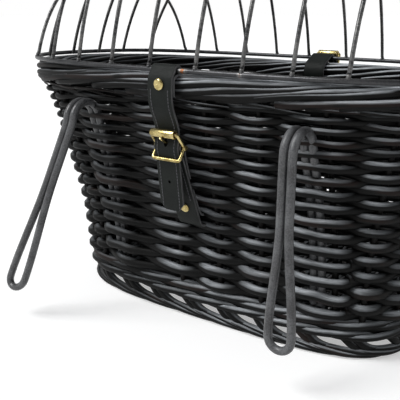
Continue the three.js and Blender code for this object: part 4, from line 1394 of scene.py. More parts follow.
@dataclass
class RimBorder:
    """The rolled border: long rods that wind over a core, with thin tips under it."""

    finishes: Finishes
    wall: WallShape
    half_length: float = 204.0
    half_width: float = 131.0
    height: float = 215.2
    half_thickness: float = 11.0
    half_height: float = 10.8
    fullness: float = 2.7
    rod_count: int = 27
    rod_radius: float = 3.0
    rod_length: float = 420.0
    from_degrees: float = -52.0
    to_degrees: float = 208.0
    overlap: float = 1.6
    thick_end: float = 1.06
    taper: float = 0.26
    slack: float = 0.16
    drifts: Pair = (0.05, 0.018)
    tip_count: int = 24
    tip_lengths: Pair = (45.0, 110.0)
    tip_drops: Pair = (0.5, 7.0)
    tip_radii: Pair = (1.2, 1.8)
    tip_taper: float = 0.62
    tip_lift: float = 1.5
    brown_share: float = 0.35

    def winding(
        self, plan: Plan, start: float, length: float, radius: Array, rng: np.random.Generator,
    ) -> Array:
        """Finds the middle of a rod that winds from inside, over the top, to the lower outside.

        Args:
            plan: The border's outline.
            start: How far along the outline it starts.
            length: How long it is.
            radius: Its radius at each point.
            rng: The seeded source of its unevenness.

        Returns:
            The points, one row each.
        """
        share = np.linspace(0.0, 1.0, len(radius))
        eased = share
        for drift, turns in zip(self.drifts, (2.0, 9.0)):
            eased = eased + drift * np.sin(turns * math.pi * share + rng.uniform(0, FULL_TURN))
        angle = np.radians(self.from_degrees + (self.to_degrees - self.from_degrees) * eased)
        shrink = 1.0 - self.slack * rng.random() * np.sin(math.pi * share)
        cos, sin = np.cos(angle), np.sin(angle)
        reach = (np.abs(cos) ** self.fullness + np.abs(sin) ** self.fullness) ** (
            -1.0 / self.fullness)
        out = (self.half_thickness - radius) * cos * reach * shrink
        rise = (self.half_height - radius) * sin * reach * shrink
        return plan.at(start + length * share, out, self.height + rise, 1.0)

    def build(self) -> None:
        """Builds the border."""
        rng = np.random.default_rng(SEED + 1)
        maker = MeshMaker()
        plan = Plan(self.half_length, self.half_width, RING_SQUARENESS)
        core = plan.at(plan.even(240), 0.0, self.height, 1.0)
        core_radius = self.half_thickness - 2 * self.rod_radius + self.overlap
        maker.rod(core, core_radius, 10, CORE_TONE, ring=True, upright=True, tall=0.9)
        for k in range(self.rod_count):
            start = plan.length * (k + rng.uniform(-0.12, 0.12)) / self.rod_count
            length = self.rod_length * rng.uniform(0.94, 1.06)
            share = np.linspace(0.0, 1.0, 64)
            radius = self.rod_radius * rng.uniform(0.92, 1.06)
            radius = radius * (self.thick_end - self.taper * share)
            radius = radius * np.clip(0.55 + 8.0 * (1 - share), 0.0, 1.0)
            path = self.winding(plan, start, length, radius, rng)
            # Painted highlight on the rod's upper side, weaker towards -X.
            maker.rod(path, radius, 9, float(rng.random()), upright=True,
                      start=map_start(rng), painted_highlight=highlight_along_x(path[:, 0]))
        for k in range(self.tip_count):
            self.add_tip(maker, k, rng)
        piece = maker.build("willow_rim_border", [self.finishes.willow, self.finishes.stake])
        place_piece(piece, Body.BASKET, "rim_border")

    def add_tip(self, maker: MeshMaker, number: int, rng: np.random.Generator) -> None:
        """Adds the thin end of a rod, which lies slanting on the top rows of the wall.

        Args:
            maker: What the rod is added to.
            number: Its number.
            rng: The seeded source of its unevenness.
        """
        share = np.linspace(0.0, 1.0, 14)
        start = (number + rng.uniform(-0.3, 0.3)) / self.tip_count
        length = rng.uniform(*self.tip_lengths)
        drop = rng.uniform(*self.tip_drops)
        radius = rng.uniform(*self.tip_radii) * (1.0 - self.tip_taper * share)
        heights = self.wall.top + self.tip_lift - (0.5 * drop + self.tip_lift) * share ** 1.1
        heights = heights + 0.8 * np.sin(share * rng.uniform(3.0, 8.0) + rng.uniform(0, 6))
        out = self.wall.thickness / 2 + 0.4 + 0.6 * radius - 1.2 * share ** 3
        path = self.wall.at(start + length * share / self.wall.plan.length, heights, out)
        tone = 0.35 + 0.6 * float(rng.random())
        slot = int(rng.random() < self.brown_share)
        # Painted highlight on the tip's upper side, weaker towards -X.
        maker.rod(path, radius, 7, tone, slot=slot, upright=True, start=map_start(rng),
                  painted_highlight=highlight_along_x(path[:, 0]))


@dataclass
class FootWale:
    """Two rounds of three rods that twist over each other at the bottom of the wall."""

    finishes: Finishes
    half_length: float = 168.0
    half_width: float = 96.0
    squareness: float = 3.95
    heights: Pair = (21.6, 30.4)
    rod_radius: float = 2.9
    sway: float = 3.1
    lift: float = 1.5
    strands: int = 3
    level_lag: float = 0.4
    # Strength of the painted highlight on the rods' upper sides.
    painted_highlight: float = 0.85
    core: Triple = (-1.2, 26.0, 3.2)

    def build(self) -> None:
        """Builds the wale."""
        rng = np.random.default_rng(SEED + 2)
        maker = MeshMaker()
        plan = Plan(self.half_length, self.half_width, self.squareness)
        distance = plan.even(288)
        turns = STAKE_COUNT / self.strands
        for level, height in enumerate(self.heights):
            for strand in range(self.strands):
                lag = (strand + self.level_lag * level) / self.strands
                place = distance / plan.length * turns + lag
                phase = 2 * math.pi * place
                out = self.sway * np.cos(phase) + 0.4
                rise = self.lift * np.sin(phase)
                noise = 0.3 * np.sin(2 * math.pi * (7 * distance / plan.length + rng.random()))
                path = plan.at(distance, out, height + rise + noise)
                # Painted highlight on the rod's upper side, weaker towards -X.
                maker.rod(path, self.rod_radius, 9, float(rng.random()), ring=True, upright=True,
                          tall=1.06, start=map_start(rng),
                          painted_highlight=self.painted_highlight * highlight_along_x(path[:, 0]))
        core_out, core_height, core_radius = self.core
        core = plan.at(distance[::3], core_out, core_height)
        maker.rod(core, core_radius, 8, CORE_TONE, ring=True, upright=True, tall=2.0)
        piece = maker.build("willow_foot_wale", [self.finishes.willow])
        place_piece(piece, Body.BASKET, "foot_wale")


@dataclass
class FootBorder:
    """The border that the basket stands on: slanting rods that run down into a roll."""

    finishes: Finishes
    half_length: float = 165.5
    half_width: float = 93.5
    squareness: float = 3.95
    roll_height: float = 4.8
    roll_half_thickness: float = 5.5
    top: float = 18.5
    slant_radius: float = 3.8
    roll_radius: float = 2.0
    rods_per_stake: int = 2
    rod_spacing: float = 7.8
    slant: float = 12.0
    run_in_roll: float = 92.0
    roll_angles: Pair = (110.0, -215.0)
    first_rod: float = -4.0
    bend_run: float = 4.0
    core_out: float = -0.3
    core_radius: float = 3.3
    # Strength of the painted highlight on the rods' upper sides.
    painted_highlight: float = 0.8

    def build(self) -> None:
        """Builds the foot border."""
        rng = np.random.default_rng(SEED + 3)
        maker = MeshMaker()
        plan = Plan(self.half_length, self.half_width, self.squareness)
        spacing = plan.length / STAKE_COUNT
        for stake in range(STAKE_COUNT):
            for k in range(self.rods_per_stake):
                start = (stake + 0.5) * spacing + self.first_rod + k * self.rod_spacing
                self.add_rod(maker, plan, start, rng)
        core = plan.at(plan.even(144), self.core_out, self.roll_height)
        maker.rod(core, self.core_radius, 8, CORE_TONE, ring=True, upright=True, tall=0.85)
        piece = maker.build("willow_foot_border", [self.finishes.willow])
        place_piece(piece, Body.BASKET, "foot_border")

    def add_rod(self, maker: MeshMaker, plan: Plan, start: float, rng: np.random.Generator) -> None:
        """Adds one rod, from the wale down into the roll and round it.

        Args:
            maker: What the rod is added to.
            plan: The roll's outline.
            start: How far along the outline it comes out of the wale.
            rng: The seeded source of its unevenness.
        """
        down = np.linspace(0.0, 1.0, 7)[:-1]
        roll = np.linspace(0.0, 1.0, 22)
        slant = self.slant * rng.uniform(0.85, 1.15)
        radius_roll = self.roll_radius * (1.15 - 0.3 * roll)
        radius_roll = radius_roll * np.clip(0.5 + 6.0 * (1 - roll), 0.0, 1.0)
        radius = np.concatenate([np.full(len(down), self.slant_radius), radius_roll])
        radius = smoothed(radius[:, None], 2)[:, 0]
        angle = np.radians(self.roll_angles[0] + self.roll_angles[1] * roll)
        reach = self.roll_half_thickness - radius_roll
        out = np.concatenate([1.2 * np.sin(math.pi * down), reach * np.cos(angle)])
        roll_top = self.roll_height + (self.roll_height - radius_roll) * np.sin(angle)
        down_height = self.top + (float(roll_top[0]) - self.top) * down ** 1.15
        height = np.concatenate([down_height, roll_top])
        in_roll = slant + self.bend_run + self.run_in_roll * roll
        distance = np.concatenate([slant * down, in_roll])
        path = smoothed(plan.at(start + distance, out, height), 2)
        path[:, 2] = np.maximum(path[:, 2], radius)
        # Painted highlight on the rod's upper side, weaker towards -X.
        maker.rod(path, radius, 9, float(rng.random()), start=map_start(rng),
                  painted_highlight=self.painted_highlight * highlight_along_x(path[:, 0]))


@dataclass
class WovenBase:
    """The floor of the basket: rods woven over seven sticks."""

    finishes: Finishes
    half_length: float = 163.5
    half_width: float = 91.5
    squareness: float = 3.95
    height: float = 24.2
    pitch: float = 5.4
    rod_radius: float = 2.55
    sway: float = 1.9
    stick_radius: float = 2.6
    stick_pitch: float = 24.0
    stick_count: int = 7
    shortest: float = 12.0
    end_room: float = 4.0
    taper: float = 0.10

    def build(self) -> None:
        """Builds the floor."""
        rng = np.random.default_rng(SEED + 4)
        # Its rods and sticks get a half-strength painted highlight on their upper sides.
        maker = MeshMaker()
        for k in range(self.stick_count):
            y = (k - (self.stick_count - 1) / 2) * self.stick_pitch
            reach = width_at(y, self.half_width, self.half_length, self.squareness)
            x = np.linspace(-reach, reach, 40)
            path = np.stack([x, np.full_like(x, y), np.full_like(x, self.height)], axis=1)
            maker.rod(path, self.stick_radius, 8, float(rng.random()), slot=1, upright=True,
                      start=map_start(rng))
        rods = int(2 * (self.half_length - self.end_room) / self.pitch)
        for k in range(rods + 1):
            x = (k - rods / 2) * self.pitch
            reach = width_at(x, self.half_length, self.half_width, self.squareness)
            if reach < self.shortest:
                continue
            y = np.linspace(-reach, reach, max(8, int(2 * reach / 3.0)))
            side = 1.0 if k % 2 == 0 else -1.0
            rise = side * self.sway * np.cos(math.pi * y / self.stick_pitch)
            drift = 0.35 * np.sin(y / 23.0 + rng.uniform(0.0, FULL_TURN))
            path = np.stack([x + drift, y, self.height + rise], axis=1)
            radius = self.rod_radius * (1.04 - self.taper * (y + reach) / (2 * reach))
            maker.rod(path, radius, 8, float(rng.random()), start=map_start(rng))
        piece = maker.build("willow_base", [self.finishes.willow, self.finishes.stake])
        place_piece(piece, Body.BASKET, "woven_base")


# Hooks


@dataclass
class Hook:
    """One steel rod: two legs in the weave, a bend for the handlebar and a hairpin loop outside."""

    finishes: Finishes
    wall: WallShape
    woven: WallShape
    name: str
    node: str
    place: float
    bend_height: float
    length: float
    splay: float
    lean: float
    radius: float = 3.25
    bend_radius: float = 15.5
    leg_bottom: float = 45.0
    leg_ease: float = 30.0
    loop_radius: float = 9.5
    apart: float = 0.4
    straight_share: float = 0.35

    def wall_out(self, height: float) -> float:
        """Finds how far out the middle of the wall is at this hook.

        Args:
            height: At what height.

        Returns:
            The distance along Y.
        """
        length, width, square = (float(v) for v in self.wall.sizes(height))
        drawn = float(self.woven.drawn_in(height))
        share = min(1.0, max(0.0, (self.bend_height - height) / self.leg_ease))
        middle = width_at(self.place, length, width, square) - self.wall.thickness / 2
        return middle - drawn * share

    def route(self) -> Array:
        """Finds the middle of the rod, from the foot of one leg to the foot of the other.

        Returns:
            The points, one row each.
        """
        leg_out = self.wall_out(self.bend_height)
        strand = self.radius + self.apart / 2
        lean = math.tan(math.radians(self.lean))
        splay = math.tan(math.radians(self.splay))
        half = []
        for height in np.linspace(self.leg_bottom, self.bend_height, 24)[:-1]:
            half.append((strand, self.wall_out(float(height)), float(height)))
        for angle in np.linspace(0.0, math.pi, 25):
            half.append((
                strand,
                leg_out + self.bend_radius * (1 - math.cos(angle)),
                self.bend_height + self.bend_radius * math.sin(angle),
            ))
        fall = self.length - self.loop_radius
        outer = leg_out + 2 * self.bend_radius
        for down in np.linspace(0.0, 1.0, 33)[1:-1]:
            part = max(0.0, (down - self.straight_share) / (1.0 - self.straight_share))
            part = min(1.0, part)
            spread = part * part * (3 - 2 * part)
            across = strand + (self.loop_radius - strand) * spread
            half.append((across, outer + lean * fall * down, self.bend_height - fall * down))
        for angle in np.linspace(0.0, 0.5 * math.pi, 11):
            drop = fall + self.loop_radius * math.sin(angle)
            across = self.loop_radius * math.cos(angle)
            half.append((across, outer + lean * drop, self.bend_height - drop))
        whole = half + [(-x, out, z) for x, out, z in half[-2::-1]]
        points = []
        for across, out, z in whole:
            drop = max(0.0, self.bend_height - z) if out > leg_out + self.bend_radius else 0.0
            points.append((self.place + across + splay * drop, -out, z))
        return np.array(points)

    def build(self) -> None:
        """Builds the hook."""
        maker = MeshMaker()
        maker.rod(smoothed(self.route(), 2), self.radius, 20)
        piece = maker.build(self.name, [self.finishes.steel])
        place_piece(piece, Body.BASKET, self.node)


# Dome


@dataclass
class Dome:
    """The wire lid: a ring, ten hoops across and five along, welded where they meet."""

    finishes: Finishes
    ring_radius: float = 2.0
    wire_radius: float = 1.6
    rise: float = 168.0
    depth_below: float = 70.0
    cross_places: tuple[float, ...] = (-175, -139, -101, -62, -22, 22, 62, 101, 139, 175)
    along_places: tuple[float, ...] = (-78, -39, 0, 39, 78)
    step: float = 0.01
    foot_lift: float = 1.0
    crown_lift: float = 1.5
    weld_lift: float = 0.9
    plain_tone: float = 0.3
    ring_tone: float = 0.12
    rust_spots: tuple[Pair, ...] = ((11.0, 2.6), (62.0, 1.1))
    rusty_tone: float = 0.95
    rusty_share: float = 0.03
    foot_weld: Triple = (2.1, 2.1, 1.5)
    weld: Triple = (1.9, 1.9, 1.3)

    def height_at(self, x: float, y: float) -> float:
        """Finds how high the dome is over the ring.

        Args:
            x: The place along X.
            y: The place along Y.

        Returns:
            The height, less than nothing outside the ring.
        """
        whole = self.rise + self.depth_below
        reach = math.sqrt(1 - (self.depth_below / whole) ** 2)
        a, b = RING_HALF_LENGTH / reach, RING_HALF_WIDTH / reach
        power = RING_SQUARENESS
        out = (abs(x / a) ** power + abs(y / b) ** power) ** (1 / power)
        return whole * math.sqrt(max(0.0, 1 - out ** 2)) - self.depth_below

    @staticmethod
    def places(span: float) -> Array:
        """Returns places along a hoop, closer together near its ends."""
        return span * np.sin(0.5 * math.pi * np.linspace(-1.0, 1.0, 61))

    def cross_route(self, x: float) -> Array:
        """Finds the middle of a hoop that crosses the basket and stands on the ring.

        Args:
            x: Its place along X.

        Returns:
            The points, one row each.
        """
        span = width_at(x, RING_HALF_LENGTH, RING_HALF_WIDTH, RING_SQUARENESS)
        rest = self.height_at(x, span)
        lift = self.ring_radius + CLEARANCE
        points = []
        for y in self.places(span):
            rise = max(self.height_at(x, y) - rest, lift + self.crown_lift)
            points.append((x, y, RING_HEIGHT - rim_fall(y) + rise))
        foot = [(x, y, RING_HEIGHT - rim_fall(y) + self.foot_lift) for y in (-span, span)]
        return np.array([foot[0], *points, foot[1]])

    def along_route(self, y: float) -> Array:
        """Finds the middle of a hoop that runs along the basket under the others.

        Args:
            y: Its place along Y.

        Returns:
            The points, one row each.
        """
        under = self.ring_radius + self.wire_radius + 2 * CLEARANCE
        span = width_at(y, RING_HALF_WIDTH, RING_HALF_LENGTH, RING_SQUARENESS)
        small = self.step
        points = []
        for x in self.places(span):
            slope_x = (self.height_at(x + small, y) - self.height_at(x - small, y)) / (2 * small)
            slope_y = (self.height_at(x, y + small) - self.height_at(x, y - small)) / (2 * small)
            in_plane = math.hypot(slope_x, 1.0)
            depth = under * math.sqrt(slope_x ** 2 + slope_y ** 2 + 1) / in_plane
            rise = self.height_at(x, y) - depth / in_plane
            points.append((x + depth * slope_x / in_plane, y, RING_HEIGHT - rim_fall(y) + rise))
        return np.array(points)

    def place_wire(self, maker: MeshMaker, name: str, node: str) -> None:
        """Settles a wire, most on the hook side, where the ring rests on the border.

        Args:
            maker: What holds the wire.
            name: The name of the piece.
            node: The solid that it stands for.
        """
        for points in maker.points:
            points[:, 2] -= ring_settle(points[:, 1])
        place_piece(maker.build(name, [self.finishes.wire]), Body.DOME, node)

    def weld_tone(self, rng: np.random.Generator) -> float:
        """Returns the tone of a weld, rusty now and then."""
        return self.rusty_tone if rng.random() < self.rusty_share else self.plain_tone

    def build_ring(self) -> None:
        """Builds the ring, with rust where it is rubbed bare on the hook side."""
        maker = MeshMaker()
        plan = Plan(RING_HALF_LENGTH, RING_HALF_WIDTH, RING_SQUARENESS)
        ring = plan.at(plan.even(500), 0.0, RING_HEIGHT, 1.0)
        rust = sum(np.exp(-((ring[:, 0] - spot) / width) ** 2) for spot, width in self.rust_spots)
        rust = np.where(ring[:, 1] < 0, np.clip(2.0 * rust, 0.0, 1.0), 0.0)
        tone = self.ring_tone + (1.0 - self.ring_tone) * rust
        maker.rod(ring, self.ring_radius, 12, tone, ring=True, upright=True)
        self.place_wire(maker, "dome_ring_wire", "dome_ring")

    def build_hoop(
        self, route: Array, rng: np.random.Generator, name: str, node: str,
        alongs: Sequence[Array] = (),
    ) -> None:
        """Builds a hoop.

        Args:
            route: The middle of its wire.
            rng: The seeded source of its tones and welds.
            name: The name of the piece.
            node: The solid that it stands for.
            alongs: The hoops that it is welded to. With them it is welded to the ring too.
        """
        maker = MeshMaker()
        tone = self.plain_tone + 0.3 * float(rng.random())
        maker.rod(route, self.wire_radius, 12, tone)
        for end in (route[0], route[-1]) if alongs else ():
            tone = self.weld_tone(rng)
            maker.blob(end + self.weld_lift * UP, self.foot_weld, rng, tone)
        for along in alongs:
            low = 1e3 * (route[:, 2] < RING_HEIGHT)
            crossing = route[np.argmin(np.abs(route[:, 1] - along[0, 1]) + low)]
            near = along[np.argmin(np.linalg.norm(along - crossing, axis=1))]
            over = route[np.argmin(np.linalg.norm(route - near, axis=1))]
            tone = self.weld_tone(rng)
            maker.blob((near + over) / 2, self.weld, rng, tone)
        self.place_wire(maker, name, node)

    def build(self) -> None:
        """Builds the ring and the hoops."""
        rng = np.random.default_rng(SEED + 5)
        self.build_ring()
        alongs = [self.along_route(y) for y in self.along_places]
        for number, x in enumerate(self.cross_places, 1):
            name, node = f"dome_cross_wire_{number}", f"cross_hoop_{number}"
            self.build_hoop(self.cross_route(x), rng, name, node, alongs)
        for number, route in enumerate(alongs, 1):
            self.build_hoop(route, rng, f"dome_length_wire_{number}", f"length_hoop_{number}")


# Leather. Routes are drawn in a side view: how far out from the middle, and how high.


def rounded_route(points: Sequence[Sequence[float]]) -> Array:
    """Rounds the corners of a route that is straight between its points.

    Args:
        points: Pairs of how far out and how high.

    Returns:
        The rounded route.
    """
    share, steps = 0.4, 4
    source = [np.asarray(point, float) for point in points]
    route = [source[0]]
    for before, corner, after in zip(source, source[1:], source[2:]):
        start = corner + (before - corner) * share
        end = corner + (after - corner) * share
        route += corner_arc(start, corner, end, steps)
    return np.array([*route, source[-1]])


@dataclass
class Strap:
    """A strip of leather along a route, with pale cut edges and a line of stitches near each."""

    route: Array
    thickness: float
    side: Side
    grain: int = 1
    width: float = 23.0
    place: float = -5.0
    skew: Triple = (0.0, 0.0, 1.0)
    edge: float = 0.55
    tip_cut: float = 0.0
    crown: float = 0.10
    step: float = 1.6
    stitch_inset: float = 3.2
    stitch_pitch: float = 2.7
    stitch_length: float = 1.95
    stitch_radius: float = 0.40
    stitch_shape: tuple[float, ...] = (-0.5, -0.3, 0.0, 0.3, 0.5)
    stitch_rise: tuple[float, ...] = (-0.25, 0.08, 0.14, 0.08, -0.25)

    def frame(self, route: Array) -> tuple[Array, Array]:
        """Returns the way the route runs and the way out of its grain side."""
        runs = directions_along(route)
        return runs, np.stack([-runs[:, 1], runs[:, 0]], axis=1)

    def to_space(self, flat: Array, x: Numbers) -> Array:
        """Puts side-view places into space.

        Args:
            flat: The places, each a pair of how far out and how high.
            x: Their places along X.

        Returns:
            The points.
        """
        shift, below, over = self.skew
        share = np.clip((below - flat[..., 1]) / over, 0.0, 1.0)
        x = np.broadcast_to(np.asarray(x, float), flat.shape[:-1]) + shift * share
        return np.stack([self.place + x, self.side.value * flat[..., 0], flat[..., 1]], axis=-1)

    def section(self) -> tuple[Array, Array]:
        """Returns the strip's section, and the slot of each of its sides: 1 for a cut edge."""
        half, thick, edge = self.width / 2, self.thickness / 2, self.edge
        across = np.linspace(-(half - edge), half - edge, 9)
        crown = self.crown * (1 - (across / half) ** 2)
        rim = [
            (half - 0.3 * edge, thick - 0.3 * edge), (half, thick - edge),
            (half, -thick + edge), (half - 0.3 * edge, -thick + 0.3 * edge),
        ]
        points = [(x, thick + c - self.crown / 2) for x, c in zip(across, crown)]
        points += rim
        points += [(x, -thick) for x in across[::-1]]
        points += [(-x, t) for x, t in rim[::-1]]
        slots = ([0] * 9 + [1] * 3 + [0]) * 2
        return np.array(points), np.array(slots)

    def narrowing(self, route: Array) -> Array:
        """Finds how wide the strip is, less at a tip with its corners cut off.

        Args:
            route: The strip's route.

        Returns:
            The share of the width at each point.
        """
        left = lengths_along(route[::-1])[::-1]
        if self.tip_cut <= 0:
            return np.ones(len(route))
        cut = np.clip(self.tip_cut - left, 0.0, self.tip_cut)
        return 1.0 - cut / (self.width / 2) * 0.85

    def add_to(self, maker: MeshMaker) -> None:
        """Adds the strip to a mesh.

        Args:
            maker: What it is added to.
        """
        route = resampled(self.route, self.step)
        if self.tip_cut > 0:
            lengths = lengths_along(route)
            extra = lengths[-1] - self.tip_cut
            wanted = np.sort(np.concatenate([lengths[lengths < extra - 0.5], [extra, lengths[-1]],
                                             [extra + 0.5 * self.tip_cut]]))
            route = np.stack([np.interp(wanted, lengths, route[:, k]) for k in range(2)], axis=1)
        runs, ups = self.frame(route)
        section, slots = self.section()
        shares = self.narrowing(route)
        flat = route[:, None, :] + ups[:, None, :] * section[None, :, 1, None]
        loops = self.to_space(flat, section[None, :, 0] * shares[:, None])
        if self.side is Side.NEAR:
            loops = loops[:, ::-1]
            slots = np.roll(slots[::-1], -1)
        around = lengths_along(np.vstack([section, section[:1]]))
        maker.grid(loops, lengths_along(route), around, 0.5, False, 0, slots, 1)

    def stitches(self, maker: MeshMaker, spans: Sequence[Pair]) -> None:
        """Adds the stitches.

        Args:
            maker: What they are added to.
            spans: Where along the route they run, as shares of its length.
        """
        lengths = lengths_along(self.route)
        for start, end in spans:
            first, last = start * lengths[-1], end * lengths[-1]
            for middle in np.arange(first, last, self.stitch_pitch):
                ends = np.array(self.stitch_shape) * self.stitch_length + middle
                ends = np.clip(ends, 0.0, lengths[-1])
                flat = np.stack([np.interp(ends, lengths, self.route[:, k]) for k in (0, 1)], 1)
                _, ups = self.frame(flat)
                rise = self.thickness / 2 + np.array(self.stitch_rise)
                flat = flat + ups * (self.grain * rise)[:, None]
                for hand in (-1, 1):
                    x = hand * (self.width / 2 - self.stitch_inset)
                    maker.rod(self.to_space(flat, x), self.stitch_radius, 6, slot=2)

    def cutter(
        self,
        place: Sequence[float],
        direction: Sequence[float],
        radius: float,
        stretch: float = 1.0,
    ) -> Object:
        """Makes a round or long hole's cutter, straight through the strip.

        Args:
            place: Where it is in the side view.
            direction: The way it goes through, in the side view.
            radius: Its radius.
            stretch: How much longer than wide it is.

        Returns:
            The cutter.
        """
        maker = MeshMaker()
        half = 9.0
        run = unit(np.asarray(direction, float)) * half
        ends = np.array([np.asarray(place) - run, np.asarray(place) + run])
        path = self.to_space(ends, 0.0)
        runs = directions_along(path)
        across = np.tile(ALONG, (2, 1))
        second = np.cross(runs, across)
        angle = 2 * math.pi * np.arange(20) / 20
        loops = (
            path[:, None, :] + radius * np.cos(angle)[None, :, None] * across[:, None, :]
            + radius * stretch * np.sin(angle)[None, :, None] * second[:, None, :]
        )
        maker.grid(loops, np.array([0.0, 2 * half]), np.linspace(0.0, 6.0, 21))
        return maker.build("cutter", [])


@dataclass
class Rivet:
    """A domed head over a thin collar, a shank through the leather and a small head behind."""

    finishes: Finishes
    name: str
    node: str
    body: Body
    face: Pair
    back: Pair
    direction: Pair
    side: Side = Side.NEAR
    place: float = -5.0
    head_radius: float = 4.5
    head_height: float = 2.0
    shank_radius: float = 1.5
    back_radius: float = 2.8
    back_height: float = 0.5
    rim_share: float = 0.22

    def build(self) -> None:
        """Builds the rivet."""
        length = math.dist(self.face, self.back)
        head = []
        for t in np.linspace(0.5 * math.pi, 0.0, 12):
            rise = self.rim_share + (1.0 - self.rim_share) * math.cos(t)
            head.append((self.head_radius * math.sin(t), length + self.head_height * rise))
        outline = [
            (0.0, -self.back_height), (self.back_radius * 0.8, -self.back_height),
            (self.back_radius, -self.back_height * 0.5), (self.back_radius, 0.0),
            (self.shank_radius, 0.0), (self.shank_radius, length),
            (self.head_radius * 0.96, length), (self.head_radius, length + 0.15), *head,
        ]
        maker = MeshMaker()
        y = self.side.value * self.back[0]
        axis = np.array([0.0, self.side.value * self.direction[0], self.direction[1]])
        maker.turned(outline, np.array([self.place, y, self.back[1]]), axis, 40, ring=True)
        piece = maker.build(self.name, [self.finishes.brass])
        place_piece(piece, self.body, self.node)


# Buckles


@dataclass
class Buckle:
    """A roller buckle: a bent bow with a middle bar, a roller and a prong."""

    finishes: Finishes
    prefix: str
    centre: Pair
    tilt: float
    side: Side
    roller_body: Body
    prong_body: Body
    place_along: float = -5.0
    rod_radius: float = 1.5
    roller_radius: float = 3.5
    bore_radius: float = 2.4
    prong_radius: float = 1.1
    strap_width: float = 23.0
    roller_away: float = 9.0
    roller_along: float = 11.5
    lower_away: float = 6.5
    lower_along: float = -9.5
    strap_away: float = 6.2
    hole_along: float = 3.9
    prong_past_roller: float = 2.8
    strap_thickness: float = 2.2
    corner_size: float = 2.2
    boss_radii: Triple = (2.0, 2.35, 2.0)
    prong_start: Pair = (2.3, 1.7)
    prong_point: tuple[float, ...] = (0.98, 0.9, 0.75, 0.5)
    eye_half_width: float = 1.5

    def place(self, away: float, along: float) -> Array:
        """Finds a place in the side view.

        Args:
            away: How far out from the middle bar.
            along: How far up the strap.

        Returns:
            How far out and how high it is.
        """
        turn = math.radians(self.tilt)
        up = np.array([-math.sin(turn), math.cos(turn)])
        out = np.array([math.cos(turn), math.sin(turn)])
        return np.asarray(self.centre, float) + out * away + up * along

    def to_space(self, flat: Array, x: float) -> Array:
        """Puts a side-view place into space."""
        return np.array([self.place_along + x, self.side.value * flat[0], flat[1]])

    def loop_over_bar(self) -> list[Array]:
        """Returns the leather's route round the middle bar, from its outer side over the top."""
        reach = self.rod_radius + RUNNING_CLEARANCE + self.strap_thickness / 2
        turns = [math.radians(d) for d in range(-35, 176, 15)]
        return [self.place(reach * math.cos(t), reach * math.sin(t)) for t in turns]

    def under_roller(self, thickness: float) -> list[Array]:
        """Returns the straight way of a strap of this thickness behind the roller."""
        away = self.roller_away - self.roller_radius - CLEARANCE - thickness / 2
        return [self.place(away, self.roller_along + along) for along in (4.5, -4.5)]

    def bow_route(self) -> Array:
        """Finds the middle of the bow's rod, with its corners bent round.

        Returns:
            The points, one row each.
        """
        arm = self.strap_width / 2 + CLEARANCE + self.rod_radius
        corners = [
            self.to_space(self.place(away, along), hand * arm)
            for away, along, hand in (
                (self.roller_away, self.roller_along, -1), (self.roller_away, self.roller_along, 1),
                (0.0, 0.0, 1), (self.lower_away, self.lower_along, 1),
                (self.lower_away, self.lower_along, -1), (0.0, 0.0, -1),
            )
        ]
        route = []
        for i, corner in enumerate(corners):
            before, after = corners[i - 1], corners[(i + 1) % len(corners)]
            start = corner + unit(before - corner) * self.corner_size
            end = corner + unit(after - corner) * self.corner_size
            route += corner_arc(start, corner, end, 5)
        return np.array(route)

    def build(self) -> None:
        """Builds the bow, the roller and the prong."""
        arm = self.strap_width / 2 + CLEARANCE + self.rod_radius
        maker = MeshMaker()
        maker.rod(self.bow_route(), self.rod_radius, 16, ring=True)
        bar = np.array([self.to_space(self.place(0, 0), x) for x in np.linspace(-arm, arm, 9)])
        maker.rod(bar, self.rod_radius, 16)
        for x in (-arm, arm):
            ends = np.array([self.to_space(self.place(0, 0), x + d) for d in (-2.2, 0.0, 2.2)])
            maker.rod(ends, np.array(self.boss_radii), 16)
        piece = maker.build(f"{self.prefix}_bow", [self.finishes.brass])
        place_piece(piece, Body.BASKET, f"{self.prefix}_frame")
        self.build_roller()
        self.build_prong()

    def build_roller(self) -> None:
        """Builds the roller, a tube whose inside shows at its open ends."""
        half = self.strap_width / 2
        outer, bore = self.roller_radius, self.bore_radius
        outline = [
            (bore, -half), (outer - 0.5, -half), (outer - 0.12, -half + 0.15), (outer, -half + 0.5),
            (outer, -0.3), (outer, half - 0.5), (outer - 0.12, half - 0.15), (outer - 0.5, half),
            (bore, half), (bore, 0.0),
        ]
        slots = [0] * 8 + [1] * 2
        maker = MeshMaker()
        centre = self.to_space(self.place(self.roller_away, self.roller_along), 0.0)
        maker.turned(outline, centre, ALONG, 40, ring=True, slots=slots)
        piece = maker.build(f"{self.prefix}_tube", [self.finishes.brass, self.finishes.copper])
        place_piece(piece, self.roller_body, f"{self.prefix}_roller")

    def build_prong(self) -> None:
        """Builds the prong: an eye round the middle bar and a shank that rests on the roller."""
        clear = self.roller_radius + 1.5 * CLEARANCE + self.prong_radius
        from_away, from_along = self.prong_start
        away, along = self.roller_away - from_away, self.roller_along - from_along
        turn = math.atan2(along, away) - math.asin(clear / math.hypot(away, along))
        length = math.sqrt(away ** 2 + along ** 2 - clear ** 2) + self.prong_past_roller
        flat = [self.place(from_away, from_along), self.place(
            from_away + length * math.cos(turn), from_along + length * math.sin(turn),
        )]
        path = resampled(np.array([self.to_space(point, 0.0) for point in flat]), 1.0)
        full = np.full(len(path) - len(self.prong_point), 1.0)
        radius = self.prong_radius * np.concatenate([full, self.prong_point])
        maker = MeshMaker()
        maker.rod(path, radius, 14)
        inner = self.rod_radius + RUNNING_CLEARANCE
        outer, half = inner + 2 * self.prong_radius * 0.6, self.eye_half_width
        outline = [
            (inner, -half), (outer - 0.3, -half), (outer, -half + 0.3),
            (outer, half - 0.3), (outer - 0.3, half), (inner, half),
        ]
        centre = self.to_space(self.place(0, 0), 0.0)
        maker.turned(outline, centre, ALONG, 28, ring=True)
        piece = maker.build(f"{self.prefix}_tongue", [self.finishes.brass])
        place_piece(piece, self.prong_body, f"{self.prefix}_prong")


